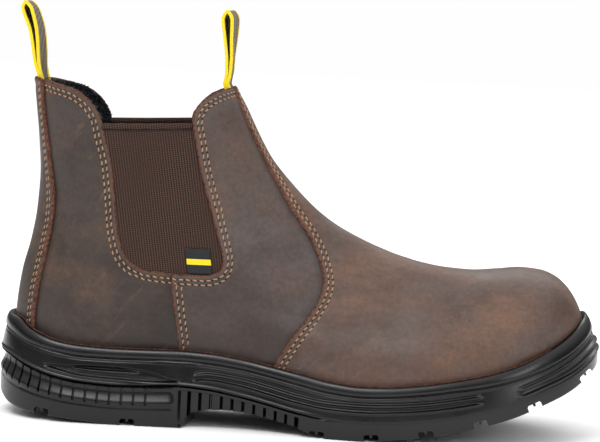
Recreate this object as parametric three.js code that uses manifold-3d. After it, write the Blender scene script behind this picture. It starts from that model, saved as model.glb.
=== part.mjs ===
import * as THREE from "three";
import { mergeVertices } from "three/addons/utils/BufferGeometryUtils.js";
import Module from "manifold-3d";

const wasm = await Module();
wasm.setup();

// Driving dimensions in millimetres. X runs from heel to toe, +Y is the inner side of the right foot, Z is up
const LENGTH = 308; // outsole, from heel back to toe tip
const COLLAR_HEIGHT = 172; // floor to the highest point of the collar
const SOLE_HEIGHT = 38.5; // floor to the lip beside the heel
const BALL_WIDTH = 106; // outsole across the ball
const SHAFT_HALF = 35; // half the width of the shaft at the collar
const LIP_INSET = 6; // lip wall between the outsole's side and the leather
const WALL = 3; // vamp leather with its lining
const VAMP_STEP = 0.9; // vamp edge over the front quarter
const QUARTER_STEP = 0.6; // front quarter edge over the rear quarter
const GORE_SINK = 0.6; // elastic below the rear quarter's face
const GORE_THICK = 1.2;
const TAG_THICK = 0.7;
const TAG_SIDE = 12.4;
const INSOLE_THICK = 4.5;
const RIBBON_WIDTH = 20;
const RIBBON_THICK = 1.3;
const LOOP_HEIGHT = 38;
const LOOP_TUCK = 10; // ribbon ends sewn inside the collar
const LOOP_TWIST = 8; // degrees that the loops have turned
const LOOP_RISE = 1.2; // where the ribbon leaves the collar
const BACK_LEAN = -8; // how far each loop's top leans along the foot
const FRONT_LEAN = -1;
const GAP = 0.3; // clearance between pieces that touch
const RAIL = 0.9; // how far the side rails stand out
const LENS_DEPTH = 1.4; // recess in the heel's side
const COMB_DEPTH = 1.5; // toothed band round the heel
const UNDERCUT = 5; // side recess under the arch
const ARCH_PITCH = 5.4;
const ARCH_RIB = 3;
const LUG_DEPTH = 3.5;
const LUG_GAP = 7.5; // channel between two lugs

// Resolution of the lofts
const RING = 84;
const FORM_STEPS = 42;
const SIDE_STEPS = 10;
const TIDY = 0.03; // slivers that cuts leave are folded away below this size

const half = LENGTH / 2;

// Tables: the first column is the share of the length from the heel's back, or a row's number
function table(columns, rows) {
  const read = {};
  const at = rows.map((row) => row[0]);
  columns.forEach((name, column) => {
    read[name] = through(at, rows.map((row) => row[column]));
  });
  read.rows = rows;
  return read;
}

// A smooth curve through a table's column that never overshoots it
function through(at, values) {
  const last = at.length - 1;
  const step = at.slice(1).map((v, i) => v - at[i]);
  const rise = step.map((h, i) => (values[i + 1] - values[i]) / h);
  const slope = values.map((v, i) => {
    if (i === 0) return rise[0];
    if (i === last) return rise[last - 1];
    if (rise[i - 1] * rise[i] <= 0) return 0;
    const before = 2 * step[i] + step[i - 1];
    const after = step[i] + 2 * step[i - 1];
    return (before + after) / (before / rise[i - 1] + after / rise[i]);
  });
  return (x) => {
    const c = Math.min(Math.max(x, at[0]), at[last]);
    let i = 0;
    while (i < last - 1 && c > at[i + 1]) i += 1;
    const t = (c - at[i]) / step[i];
    const t2 = t * t;
    const t3 = t2 * t;
    return (2 * t3 - 3 * t2 + 1) * values[i] + (t3 - 2 * t2 + t) * step[i] * slope[i]
      + (3 * t2 - 2 * t3) * values[i + 1] + (t3 - t2) * step[i] * slope[i + 1];
  };
}

// Outsole's plan, as shares of the ball width before its ends are rounded
const PLAN = table(["at", "lateral", "medial"], [
  [0.0, 0.354, 0.354],
  [0.1, 0.36, 0.354],
  [0.2, 0.363, 0.352],
  [0.3, 0.363, 0.335],
  [0.4, 0.382, 0.302],
  [0.5, 0.44, 0.335],
  [0.6, 0.495, 0.425],
  [0.66, 0.507, 0.472],
  [0.72, 0.503, 0.499],
  [0.78, 0.487, 0.507],
  [0.84, 0.465, 0.502],
  [0.9, 0.443, 0.495],
  [1.0, 0.406, 0.491],
]);
const HEEL_ROUND = 0.136; // length of the rounded heel and toe, as shares of the length
const TOE_ROUND = 0.2;
const HEEL_POWER = 2.1;
const TOE_POWER = 2.3;

// Lines round the sole, as shares of its height at the heel
const LINES = table(["at", "bottom", "parting", "low", "high", "bead", "lip", "floor"], [
  [0.0, 0.28, 0.86, 0.95, 0.98, 1.16, 1.325, 0.74],
  [0.02, 0.155, 0.816, 0.883, 0.922, 1.1, 1.307, 0.74],
  [0.05, 0.1, 0.712, 0.779, 0.818, 1.0, 1.17, 0.74],
  [0.1, 0.062, 0.597, 0.691, 0.758, 0.917, 1.055, 0.74],
  [0.15, 0.026, 0.54, 0.621, 0.771, 0.875, 1.013, 0.74],
  [0.2, 0.0, 0.52, 0.6, 0.766, 0.87, 1.0, 0.74],
  [0.25, 0.0, 0.532, 0.59, 0.732, 0.875, 1.003, 0.74],
  [0.3, 0.0, 0.553, 0.597, 0.634, 0.878, 1.01, 0.735],
  [0.35, 0.0, 0.53, 0.644, 0.725, 0.862, 0.995, 0.712],
  [0.4, 0.0, 0.468, 0.597, 0.686, 0.818, 0.948, 0.668],
  [0.45, 0.0, 0.39, 0.514, 0.608, 0.748, 0.878, 0.605],
  [0.5, 0.0, 0.306, 0.429, 0.522, 0.668, 0.805, 0.543],
  [0.55, 0.0, 0.255, 0.377, 0.468, 0.597, 0.73, 0.488],
  [0.6, 0.0, 0.244, 0.366, 0.462, 0.571, 0.699, 0.462],
  [0.65, 0.031, 0.26, 0.387, 0.478, 0.592, 0.714, 0.473],
  [0.7, 0.081, 0.296, 0.423, 0.514, 0.634, 0.758, 0.514],
  [0.75, 0.151, 0.358, 0.483, 0.574, 0.696, 0.823, 0.577],
  [0.8, 0.252, 0.452, 0.561, 0.647, 0.764, 0.904, 0.662],
  [0.85, 0.371, 0.566, 0.634, 0.722, 0.86, 1.018, 0.774],
  [0.9, 0.535, 0.712, 0.784, 0.878, 0.997, 1.184, 0.914],
  [0.95, 0.717, 0.894, 0.961, 1.073, 1.19, 1.392, 1.065],
  [1.0, 1.0, 1.143, 1.234, 1.338, 1.455, 1.662, 1.195],
]);
const line = (name, x) => SOLE_HEIGHT * LINES[name]((x + half) / LENGTH);

// Where each kind of side relief begins and ends, as shares of the length
const LENS = { start: 0.08, end: 0.307 };
const RAILS = { start: 0.325, end: 0.8 };
const TOE_RAILS = { start: 0.856, end: 1.1 };
const COMB = { start: -0.1, end: 0.3 };
const COMB_LOW = 0.5; // the toothed band, as shares of the way from the floor side to the parting line
const COMB_HIGH = 0.77;
const COMB_EDGE = 0.04;
const SIDE_TOP = 0.9;
const WINDOW_EDGE = 0.012;

// The rounded rise of an end: 0 at the end itself, 1 from its full length on
function rounded(share, power) {
  const s = Math.min(Math.max(share, 0), 1);
  return (1 - (1 - s) ** power) ** (1 / power);
}

// The plan's middle line and the width on each side of it, with its ends rounded
const planMiddle = (x) => {
  const at = (x + half) / LENGTH;
  return ((PLAN.medial(at) - PLAN.lateral(at)) / 2) * BALL_WIDTH;
};
const planReach = (x, inset) => {
  const at = (x + half) / LENGTH;
  return ((PLAN.medial(at) + PLAN.lateral(at)) / 2) * BALL_WIDTH - inset;
};
const toeRound = (x, tip) => rounded((tip - x) / (TOE_ROUND * LENGTH), TOE_POWER);
const heelRound = (x, back, share) => rounded((x - back) / (share * LENGTH), HEEL_POWER);

function planY(x, side) {
  return planMiddle(x) + side * planReach(x, 0) * heelRound(x, -half, HEEL_ROUND) * toeRound(x, half);
}

// The outsole's outline: lateral side from heel to toe, then the medial side back
const outline = Array.from({ length: RING }, (_, i) => {
  const angle = (2 * Math.PI * i) / RING;
  const x = -half * Math.cos(angle);
  return new THREE.Vector2(x, planY(x, i <= RING / 2 ? -1 : 1));
});
const outward = outline.map((_, i) => {
  const next = outline[(i + 1) % RING];
  const before = outline[(i + RING - 1) % RING];
  const along = next.clone().sub(before).normalize();
  return new THREE.Vector2(along.y, -along.x);
});

// A ring round the sole at a height that follows x, moved in by a distance
function ring(height, inset) {
  return outline.map((p, i) => {
    const d = typeof inset === "function" ? inset(p.x, i) : inset;
    const z = typeof height === "function" ? height(p.x) : height;
    return new THREE.Vector3(p.x - outward[i].x * d, p.y - outward[i].y * d, z);
  });
}

// A closed body through rings, each end closed by strips across the foot
function ringBody(rings) {
  const count = rings[0].length;
  const points = rings.flat();
  const faces = [];
  for (let r = 0; r < rings.length - 1; r += 1) {
    for (let i = 0; i < count; i += 1) {
      const a = r * count + i;
      const b = r * count + ((i + 1) % count);
      faces.push([a, b, b + count], [a, b + count, a + count]);
    }
  }
  const top = (rings.length - 1) * count;
  for (let i = 0; i < count / 2; i += 1) {
    const j = (count - i) % count;
    const k = (count - i - 1) % count;
    faces.push([i, j, k], [i, k, i + 1]);
    faces.push([top + i, top + k, top + j], [top + i, top + i + 1, top + k]);
  }
  return solid(points, faces);
}

// A manifold solid from points and triangles, with doubled points merged and flat triangles dropped
function solid(points, faces) {
  const geometry = new THREE.BufferGeometry();
  geometry.setAttribute("position", new THREE.Float32BufferAttribute(points.flatMap((p) => p.toArray()), 3));
  geometry.setIndex(faces.flat());
  return solidOf(geometry);
}

function solidOf(geometry) {
  geometry.deleteAttribute("normal");
  geometry.deleteAttribute("uv");
  const merged = mergeVertices(geometry, 1e-4);
  const index = merged.index.array;
  const kept = [];
  for (let i = 0; i < index.length; i += 3) {
    const [a, b, c] = [index[i], index[i + 1], index[i + 2]];
    if (a !== b && b !== c && c !== a) kept.push(a, b, c);
  }
  const body = new wasm.Manifold(new wasm.Mesh({
    numProp: 3,
    vertProperties: new Float32Array(merged.attributes.position.array),
    triVerts: new Uint32Array(kept),
  }));
  return body.volume() < 0 ? new wasm.Manifold(new wasm.Mesh({
    numProp: 3,
    vertProperties: new Float32Array(merged.attributes.position.array),
    triVerts: new Uint32Array(kept.reverse()),
  })) : body;
}

// A side-view outline carried straight across the foot
function across(points, fromY, toY) {
  const shape = new THREE.Shape(points.map(([x, z]) => new THREE.Vector2(x, z)));
  const geometry = new THREE.ExtrudeGeometry(shape, { depth: toY - fromY, bevelEnabled: false });
  geometry.rotateX(Math.PI / 2);
  geometry.translate(0, toY, 0);
  return solidOf(geometry);
}

function box(sizeX, sizeY, sizeZ, place) {
  const geometry = new THREE.BoxGeometry(sizeX, sizeY, sizeZ).toNonIndexed();
  geometry.applyMatrix4(place);
  return solidOf(geometry);
}

// A smooth side-view curve from shares of the length and of the collar height
function sideCurve(shares, steps) {
  const places = shares.map(([x, z]) => new THREE.Vector3(x * LENGTH, 0, z * COLLAR_HEIGHT));
  return new THREE.CatmullRomCurve3(places, false, "centripetal").getPoints(steps).map((p) => [p.x, p.z]);
}

// Upper: sections that fan from the toe to the collar, from a place on the top line to one on the bottom or back
const FAN = table(["row", "topX", "topZ", "footX", "footZ", "dome", "power"], [
  [0, 0.4747, 0.291, 0.4747, 0.209, 0.026, 2.3],
  [1, 0.4737, 0.326, 0.4737, 0.209, 0.03, 2.3],
  [2, 0.4708, 0.355, 0.4708, 0.209, 0.037, 2.3],
  [3, 0.4653, 0.384, 0.4653, 0.209, 0.047, 2.3],
  [4, 0.4552, 0.419, 0.4552, 0.203, 0.06, 2.3],
  [5, 0.4416, 0.451, 0.4416, 0.192, 0.074, 2.3],
  [6, 0.4221, 0.479, 0.4221, 0.174, 0.09, 2.3],
  [7, 0.3961, 0.4955, 0.3961, 0.145, 0.109, 2.3],
  [8, 0.3636, 0.4995, 0.3636, 0.116, 0.125, 2.25],
  [9, 0.3247, 0.4915, 0.3247, 0.087, 0.138, 2.2],
  [10, 0.2825, 0.4845, 0.2792, 0.064, 0.151, 2.15],
  [11, 0.2435, 0.488, 0.2338, 0.052, 0.164, 2.1],
  [12, 0.2013, 0.5005, 0.1818, 0.035, 0.179, 2.05],
  [13, 0.1623, 0.5185, 0.1234, 0.029, 0.193, 2.0],
  [14, 0.1234, 0.542, 0.0617, 0.035, 0.208, 1.95],
  [15, 0.0844, 0.5715, -0.0032, 0.052, 0.226, 1.9],
  [16, 0.0519, 0.601, -0.0714, 0.076, 0.244, 1.85],
  [17, 0.0227, 0.636, -0.1461, 0.087, 0.256, 1.8],
  [18, -0.0032, 0.676, -0.224, 0.087, 0.258, 1.8],
  [19, -0.026, 0.717, -0.3052, 0.087, 0.247, 1.8],
  [20, -0.0455, 0.755, -0.4026, 0.081, 0.229, 1.82],
  [21, -0.0617, 0.791, -0.4805, 0.116, 0.211, 1.85],
  [22, -0.0747, 0.828, -0.479, 0.29, 0.194, 1.9],
  [23, -0.0864, 0.866, -0.4714, 0.419, 0.18, 1.92],
  [24, -0.0968, 0.902, -0.459, 0.517, 0.168, 1.95],
  [25, -0.1058, 0.934, -0.45, 0.616, 0.16, 1.97],
  [26, -0.1143, 0.961, -0.4468, 0.715, 0.154, 2.0],
  [27, -0.1227, 0.987, -0.451, 0.814, 0.15, 2.0],
  [28, -0.1318, 1.016, -0.4575, 0.913, 0.147, 2.0],
  [29, -0.1416, 1.049, -0.464, 1.012, 0.146, 2.0],
  [30, -0.1526, 1.093, -0.47, 1.116, 0.146, 2.0],
]);
const LAST_ROW = FAN.rows.length - 1;
const ROW_STEP = 0.02; // small steps along the form to find its slope
const SHARE_STEP = 0.004;
const CORNER_ROW = 21; // from here on a section reaches the heel's back
const backX = through(
  FAN.rows.slice(CORNER_ROW).map((row) => row[4] * COLLAR_HEIGHT),
  FAN.rows.slice(CORNER_ROW).map((row) => row[3] * LENGTH),
);
const TOE_TIP = FAN.rows[0][1] * LENGTH;
const BACK_ROUND = 0.13; // rounding of the heel's back as a share of the length
const BULGE = 1.6; // how far the lasted leather swells over the lip
const BULGE_HEIGHT = 14;
const LAST_RISE = { start: 6, height: 72 }; // where the foot's width turns into the shaft's, above the lip

// Half widths of the shaft up from the floor, as shares of its half width at the collar
const SHAFT = table(["at", "lateral", "medial"], [
  [0.0, 0.98, 0.96],
  [0.35, 0.98, 0.96],
  [0.55, 0.94, 0.93],
  [0.68, 0.93, 0.93],
  [0.82, 0.97, 0.97],
  [1.0, 1.03, 1.03],
  [1.1, 1.05, 1.05],
]);

const ease = (t) => {
  const c = Math.min(Math.max(t, 0), 1);
  return c * c * (3 - 2 * c);
};

// One point of the upper's form: a row of the fan, a share of the way down it, and the side
function formPoint(row, share, side) {
  const top = new THREE.Vector2(FAN.topX(row) * LENGTH, FAN.topZ(row) * COLLAR_HEIGHT);
  const foot = new THREE.Vector2(FAN.footX(row) * LENGTH, FAN.footZ(row) * COLLAR_HEIGHT);
  const place = top.clone().lerp(foot, share);
  const down = share * top.distanceTo(foot);
  const above = place.y - line("lip", place.x);
  const level = place.y / COLLAR_HEIGHT;
  const rise = ease((above - LAST_RISE.start) / LAST_RISE.height);
  const shaft = SHAFT_HALF * (side < 0 ? SHAFT.lateral(level) : SHAFT.medial(level));
  const swell = BULGE * Math.max(0, 1 - ((above - BULGE_HEIGHT) / BULGE_HEIGHT) ** 2);
  const body = planReach(place.x, LIP_INSET) * (1 - rise) + shaft * rise + swell;
  const front = rounded(down / (FAN.dome(row) * LENGTH), FAN.power(row));
  const ends = heelRound(place.x, backX(place.y), BACK_ROUND) * toeRound(place.x, TOE_TIP);
  const y = planMiddle(place.x) * (1 - rise) + side * body * front * ends;
  return new THREE.Vector3(place.x, y, place.y);
}

// The whole form as a closed body, its skin moved out by a distance
function form(out) {
  const rings = [];
  for (let r = 0; r <= FORM_STEPS; r += 1) {
    const row = (LAST_ROW * r) / FORM_STEPS;
    const loop = [];
    for (const side of [-1, 1]) {
      for (let s = 0; s <= SIDE_STEPS; s += 1) {
        const u = s / SIDE_STEPS;
        const share = (1 - Math.cos(Math.PI * u)) / 2;
        loop.push(skinPoint(row, side < 0 ? share : 1 - share, side, out));
      }
    }
    rings.push(loop);
  }
  return tubeBody(rings);
}

// A point of the form moved out along its normal, which lies in the side view along the two seams
function skinPoint(row, share, side, out) {
  const p = formPoint(row, share, side);
  if (out === 0) return p;
  const rowA = Math.max(row - ROW_STEP, 0);
  const rowB = Math.min(row + ROW_STEP, LAST_ROW);
  const shareA = Math.max(share - SHARE_STEP, 0);
  const shareB = Math.min(share + SHARE_STEP, 1);
  const alongRow = formPoint(rowB, share, side).sub(formPoint(rowA, share, side));
  const alongShare = formPoint(row, shareB, side).sub(formPoint(row, shareA, side));
  let normal = alongRow.clone().cross(alongShare).multiplyScalar(-side);
  if (share < 1e-6) normal = new THREE.Vector3(alongRow.z, 0, -alongRow.x);
  else if (share > 1 - 1e-6 && row >= CORNER_ROW) normal = new THREE.Vector3(-alongRow.z, 0, alongRow.x);
  if (row === 0) normal = new THREE.Vector3(1, 0, 0);
  return p.addScaledVector(normal.normalize(), out);
}

function tubeBody(rings) {
  const count = rings[0].length;
  const points = rings.flat();
  const faces = [];
  for (let r = 0; r < rings.length - 1; r += 1) {
    for (let i = 0; i < count; i += 1) {
      const a = r * count + i;
      const b = r * count + ((i + 1) % count);
      faces.push([a, b, b + count], [a, b + count, a + count]);
    }
  }
  const end = (rings.length - 1) * count;
  for (let i = 1; i < count / 2; i += 1) {
    const [a, b] = [i - 1, i];
    const [c, d] = [count - i, count - 1 - i];
    faces.push([a, c, b], [b, c, d]);
    faces.push([end + a, end + b, end + c], [end + b, end + d, end + c]);
  }
  return solid(points, faces);
}

// How far the sole's side leans in at the lip, along the length
const LEAN = table(["at", "inset"], [
  [0.0, 3.6],
  [0.2, 3.2],
  [0.8, 3.2],
  [0.95, 5],
  [1.0, 7.4],
]);

const shareOf = (x) => (x + half) / LENGTH;
const within = (x, band) => ease((shareOf(x) - band.start) / WINDOW_EDGE)
  * ease((band.end - shareOf(x)) / WINDOW_EDGE);

// Inset of the sole's side at one height between the parting line and the lip
function sideInset(x, z) {
  const low = line("parting", x);
  const share = Math.max(0, (z - low) / (line("lip", x) - low));
  return LEAN.inset(shareOf(x)) * share ** 1.3;
}

// A ring at a named line plus a lift, pushed in by a relief that follows x
function sideRing(name, lift, relief) {
  const height = (x) => (typeof name === "string" ? line(name, x) : name(x)) + lift;
  return ring(height, (x) => sideInset(x, height(x)) + relief(x));
}

const BEAD = 0.9; // how far the bead under the leather swells
const GROOVE = 0.7;
const LINE_HALF = 0.7; // half the width of a moulded line
const EDGE_ROUND = 1.3;
const LIP_ROUND = 1.7;

const rails = (x) => within(x, RAILS) + within(x, TOE_RAILS);
const railOut = (x) => -RAIL * rails(x);
const railCut = (x) => GROOVE * within(x, RAILS);
const lensIn = (x) => LENS_DEPTH * within(x, LENS);

// Where midsole and outsole meet inside the side wall, clear of the foot's bed
const SIDE_WALL = 5;
const PARTING_INSET = 0.6;
const BED_THICK = 3;
const partingBed = (x) => Math.min(line("parting", x), line("floor", x) - BED_THICK);

function midsole() {
  const mid = (x) => (line("low", x) + line("high", x)) / 2;
  const beadTop = (x) => (line("bead", x) + line("lip", x)) / 2;
  const body = ringBody([
    ring((x) => partingBed(x) - BED_THICK, SIDE_WALL - 1),
    ring((x) => line("parting", x), PARTING_INSET),
    sideRing("parting", LINE_HALF, () => 0),
    sideRing("low", -LINE_HALF, () => 0),
    sideRing("low", LINE_HALF / 2, (x) => railCut(x) * 0.5 + railOut(x) * 0.5),
    sideRing(mid, 0, (x) => railOut(x) + lensIn(x)),
    sideRing("high", -LINE_HALF / 2, (x) => railOut(x) + railCut(x) + lensIn(x)),
    sideRing("high", LINE_HALF, (x) => -RAIL * within(x, RAILS)),
    sideRing("bead", -LINE_HALF, (x) => -RAIL * within(x, RAILS)),
    sideRing("bead", 0, () => GROOVE),
    sideRing("bead", LINE_HALF, () => -BEAD * 0.6),
    sideRing(beadTop, 0, () => -BEAD),
    sideRing("lip", -LINE_HALF, () => -BEAD * 0.5),
    sideRing("lip", 0, () => LIP_ROUND - BEAD * 0.5),
  ]);
  const cup = form(GAP).intersect(above("floor", 0));
  return body.subtract(outsoleBody().translate([0, 0, GAP])).subtract(cup);
}

// Everything over a line of the sole, wider than the shoe
const BED_STEPS = 30;
function above(name, lift) {
  const points = Array.from({ length: BED_STEPS + 1 }, (_, i) => {
    const x = LENGTH * 1.1 * (i / BED_STEPS - 0.5);
    return [x, line(name, x) + lift];
  });
  const high = COLLAR_HEIGHT * 1.5;
  return across([...points, [LENGTH * 0.55, high], [-LENGTH * 0.55, high]], -BALL_WIDTH, BALL_WIDTH);
}

// Underside of the arch, from the heel's breast to the forefoot's tread
const ARCH = [
  [-0.2, -0.04],
  [-0.187, 0.026],
  [-0.176, 0.046],
  [-0.15, 0.057],
  [-0.118, 0.059],
  [-0.09, 0.056],
  [-0.06, 0.048],
  [-0.03, 0.037],
  [0.0, 0.025],
  [0.02, 0.012],
  [0.036, -0.004],
  [0.05, -0.04],
];
const ARCH_LAYERS = 10;
const BREAST_BOW = 6; // the heel's breast bows forward by this much at the middle

function archCut() {
  const roof = ARCH.map(([x, z]) => [x * LENGTH, z * COLLAR_HEIGHT]);
  const deep = -SOLE_HEIGHT;
  const rings = [];
  for (let i = 0; i <= ARCH_LAYERS; i += 1) {
    const y = BALL_WIDTH * (i / ARCH_LAYERS - 0.5) * 1.3;
    const bow = BREAST_BOW * Math.max(0, 1 - (y / (BALL_WIDTH * 0.36)) ** 2);
    const bend = ([x]) => x + bow * (roof.at(-1)[0] - x) / (roof.at(-1)[0] - roof[0][0]);
    const over = roof.map((p) => new THREE.Vector3(bend(p), y, p[1]));
    const under = roof.map((p) => new THREE.Vector3(bend(p), y, deep)).reverse();
    rings.push([...over, ...under]);
  }
  return tubeBody(rings);
}

// The sunk, ribbed side of the arch
const UNDERCUT_SIDE = [
  [-0.198, 0.103],
  [-0.155, 0.106],
  [-0.12, 0.103],
  [-0.087, 0.094],
  [-0.058, 0.084],
  [-0.026, 0.073],
  [0.006, 0.061],
  [-0.003, 0.034],
  [-0.003, -0.05],
  [-0.18, -0.05],
  [-0.184, 0.045],
];

function undercut() {
  const sides = across(UNDERCUT_SIDE.map(([x, z]) => [x * LENGTH, z * COLLAR_HEIGHT]), -BALL_WIDTH, BALL_WIDTH);
  const core = ringBody([ring(-SOLE_HEIGHT, UNDERCUT), ring(SOLE_HEIGHT * 2, UNDERCUT)]);
  let tool = sides.subtract(core);
  const from = UNDERCUT_SIDE[0][0] * LENGTH;
  const to = UNDERCUT_SIDE[7][0] * LENGTH;
  for (let x = from + ARCH_PITCH; x < to; x += ARCH_PITCH) {
    for (const side of [-1, 1]) {
      tool = tool.subtract(box(ARCH_RIB, UNDERCUT, SOLE_HEIGHT * 3, onSide(x, side, UNDERCUT + 1)));
    }
  }
  return tool;
}

// A place on the sole's outline: X along the side, Y out of it
function onSide(x, side, inset) {
  const y = planY(x, side);
  const slope = (planY(x + 0.5, side) - planY(x - 0.5, side));
  const angle = Math.atan(slope);
  const place = new THREE.Matrix4().makeRotationZ(angle);
  place.setPosition(x + side * inset * Math.sin(angle), y - side * inset * Math.cos(angle), 0);
  return place;
}

// Tread: channels across the sole, and one down its middle
const LUG_FIRST = 0.0325;
const LUG_PITCH = 27.4;
const LUG_COUNT = 6;
const HEEL_CHANNELS = [-0.42, -0.278];
const MIDDLE_GAP = 6;
const MIDDLE_RUNS = [
  [0.0455, 0.4],
  [-0.4, -0.22],
];
const MIDDLE_STEPS = 12;

function tread() {
  const places = HEEL_CHANNELS.map((share) => share * LENGTH);
  for (let i = 0; i < LUG_COUNT; i += 1) places.push(LUG_FIRST * LENGTH + i * LUG_PITCH);
  const cuts = places.map((x) => {
    const slope = line("bottom", x + 1) - line("bottom", x - 1);
    const turn = new THREE.Matrix4().makeRotationY(-Math.atan(slope / 2));
    const place = new THREE.Matrix4().makeTranslation(x, 0, line("bottom", x)).multiply(turn);
    return box(LUG_GAP, BALL_WIDTH * 1.2, LUG_DEPTH * 2, place);
  });
  MIDDLE_RUNS.forEach(([start, end]) => {
    const xs = Array.from({ length: MIDDLE_STEPS + 1 }, (_, i) => LENGTH * (start + ((end - start) * i) / MIDDLE_STEPS));
    const roof = xs.map((x) => [x, line("bottom", x) + LUG_DEPTH]);
    const foot = xs.map((x) => [x, line("bottom", x) - LUG_DEPTH]).reverse();
    cuts.push(across([...roof, ...foot], -MIDDLE_GAP / 2, MIDDLE_GAP / 2));
  });
  return wasm.Manifold.union(cuts);
}

function outsoleBody() {
  const between = (share) => (x) => THREE.MathUtils.lerp(line("bottom", x), line("parting", x), share);
  const comb = (x) => COMB_DEPTH * within(x, COMB);
  return ringBody([
    ring((x) => line("bottom", x), EDGE_ROUND),
    ring((x) => line("bottom", x) + EDGE_ROUND, 0.3),
    ring(between(COMB_LOW - COMB_EDGE), 0),
    ring(between(COMB_LOW + COMB_EDGE), comb),
    ring(between(COMB_HIGH - COMB_EDGE), comb),
    ring(between(COMB_HIGH + COMB_EDGE), 0),
    ring(between(SIDE_TOP), 0),
    ring((x) => line("parting", x) - GAP, PARTING_INSET),
    ring((x) => partingBed(x) - GAP, SIDE_WALL),
  ]);
}

const outsole = () => outsoleBody().subtract(archCut()).subtract(undercut()).subtract(tread());

function insole() {
  const room = form(-WALL - GAP).intersect(above("floor", GAP));
  return room.subtract(above("floor", GAP + INSOLE_THICK));
}

// Seams of the upper in the side view, as shares of the length and of the collar height
const VAMP_EDGE = [
  [-0.1338, 1.02], [-0.1075, 0.91], [-0.0818, 0.818], [-0.054, 0.731], [-0.0234, 0.642],
  [0.0032, 0.578], [0.0253, 0.498], [0.0318, 0.434], [0.0153, 0.361], [-0.0143, 0.286],
  [-0.0425, 0.196], [-0.068, 0.06],
];
const STRAP_EDGE = [
  [-0.447, 1.04], [-0.441, 0.9], [-0.4295, 0.776], [-0.419, 0.66], [-0.4195, 0.59],
  [-0.428, 0.49], [-0.4395, 0.36], [-0.4425, 0.25], [-0.441, 0.1],
];
const SIDE_SEAM = [
  [-0.2166, 0.45], [-0.2162, 0.419], [-0.2088, 0.334], [-0.1997, 0.233], [-0.192, 0.1],
];
const GORE_EDGE = [
  [-0.3403, 0.878], [-0.335, 0.84], [-0.3244, 0.78], [-0.316, 0.69], [-0.3124, 0.63],
  [-0.306, 0.555], [-0.2935, 0.495], [-0.27, 0.462], [-0.235, 0.4525], [-0.19, 0.4495],
  [-0.153, 0.452], [-0.1372, 0.466], [-0.1335, 0.491], [-0.1425, 0.557], [-0.1565, 0.642],
  [-0.1735, 0.74], [-0.1857, 0.837], [-0.1925, 0.893],
];
const COLLAR_EDGE = [
  [-0.51, 1.004], [-0.462, 1.001], [-0.4234, 0.988], [-0.3896, 0.973], [-0.365, 0.9465],
  [-0.3487, 0.912], [-0.3403, 0.878], [-0.264, 0.884], [-0.1925, 0.893], [-0.1895, 0.925],
  [-0.1805, 0.953], [-0.162, 0.98], [-0.1286, 1.003], [-0.05, 1.02],
];
const REACH = LENGTH; // how far side-view tools run beyond the shoe

function region(curve, steps, closing) {
  return across([...sideCurve(curve, steps), ...closing], -BALL_WIDTH, BALL_WIDTH);
}

function upper() {
  const vampSide = region(VAMP_EDGE, 26, [[REACH, -SOLE_HEIGHT], [REACH, REACH]]);
  const strapSide = region(STRAP_EDGE, 14, [[-REACH, -SOLE_HEIGHT], [-REACH, REACH]]);
  const frontSide = region([[-0.2166, 1.2], ...SIDE_SEAM], 12, [[REACH, -SOLE_HEIGHT], [REACH, REACH]]);
  const skin = form(0);
  const leather = form(-VAMP_STEP - QUARTER_STEP)
    .add(form(-VAMP_STEP).intersect(frontSide))
    .add(skin.intersect(vampSide))
    .add(skin.intersect(strapSide));
  return leather.subtract(form(-WALL))
    .intersect(above("floor", GAP))
    .subtract(collarCut())
    .subtract(goreSide(0));
}

function collarCut() {
  return region(COLLAR_EDGE, 40, [[0, REACH], [-REACH, REACH], [-REACH, COLLAR_HEIGHT * 1.004]]);
}

// The gore's outline drawn in by a distance and carried across the foot
function goreSide(inset) {
  const edge = sideCurve(GORE_EDGE, 34);
  const drawn = edge.map(([x, z], i) => {
    const a = edge[Math.max(i - 1, 0)];
    const b = edge[Math.min(i + 1, edge.length - 1)];
    const run = Math.hypot(b[0] - a[0], b[1] - a[1]);
    return [x - (inset * (b[1] - a[1])) / run, z + (inset * (b[0] - a[0])) / run];
  });
  const lift = 5;
  const [first, last] = [drawn[0], drawn.at(-1)];
  return across([[first[0] - 0.4, first[1] + lift], ...drawn, [last[0], last[1] + lift]], -BALL_WIDTH, BALL_WIDTH);
}

const halfSpace = (side) => box(4 * LENGTH, 2 * LENGTH, 4 * LENGTH, new THREE.Matrix4().makeTranslation(0, side * LENGTH, 0));

function gore(side) {
  const face = -VAMP_STEP - QUARTER_STEP - GORE_SINK;
  return form(face).subtract(form(face - GORE_THICK))
    .intersect(goreSide(GAP))
    .subtract(collarCut())
    .intersect(halfSpace(side));
}

// Blank tag on the outer gore, its lower edge at the leather
function tag() {
  const face = -VAMP_STEP - QUARTER_STEP - GORE_SINK + GAP;
  const low = 0.4535 * COLLAR_HEIGHT;
  const front = -0.1545 * LENGTH;
  const lean = 1.4;
  const sides = across([
    [front - TAG_SIDE, low],
    [front, low],
    [front - lean, low + TAG_SIDE],
    [front - lean - TAG_SIDE, low + TAG_SIDE],
  ], -BALL_WIDTH, 0);
  return form(face + TAG_THICK).subtract(form(face)).intersect(sides).intersect(goreSide(GAP));
}

// A pull loop: a ribbon folded over, its ends inside the collar
const LOOP = table(["at", "width", "lean"], [
  [0.0, 0.0, 0.0],
  [0.25, 0.35, 0.1],
  [0.6, 0.6, 0.35],
  [0.9, 1.0, 0.85],
  [1.0, 0.0, 1.0],
]);
const LOOP_STEPS = 16;
const LOOP_SLIT = 2.2;

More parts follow.
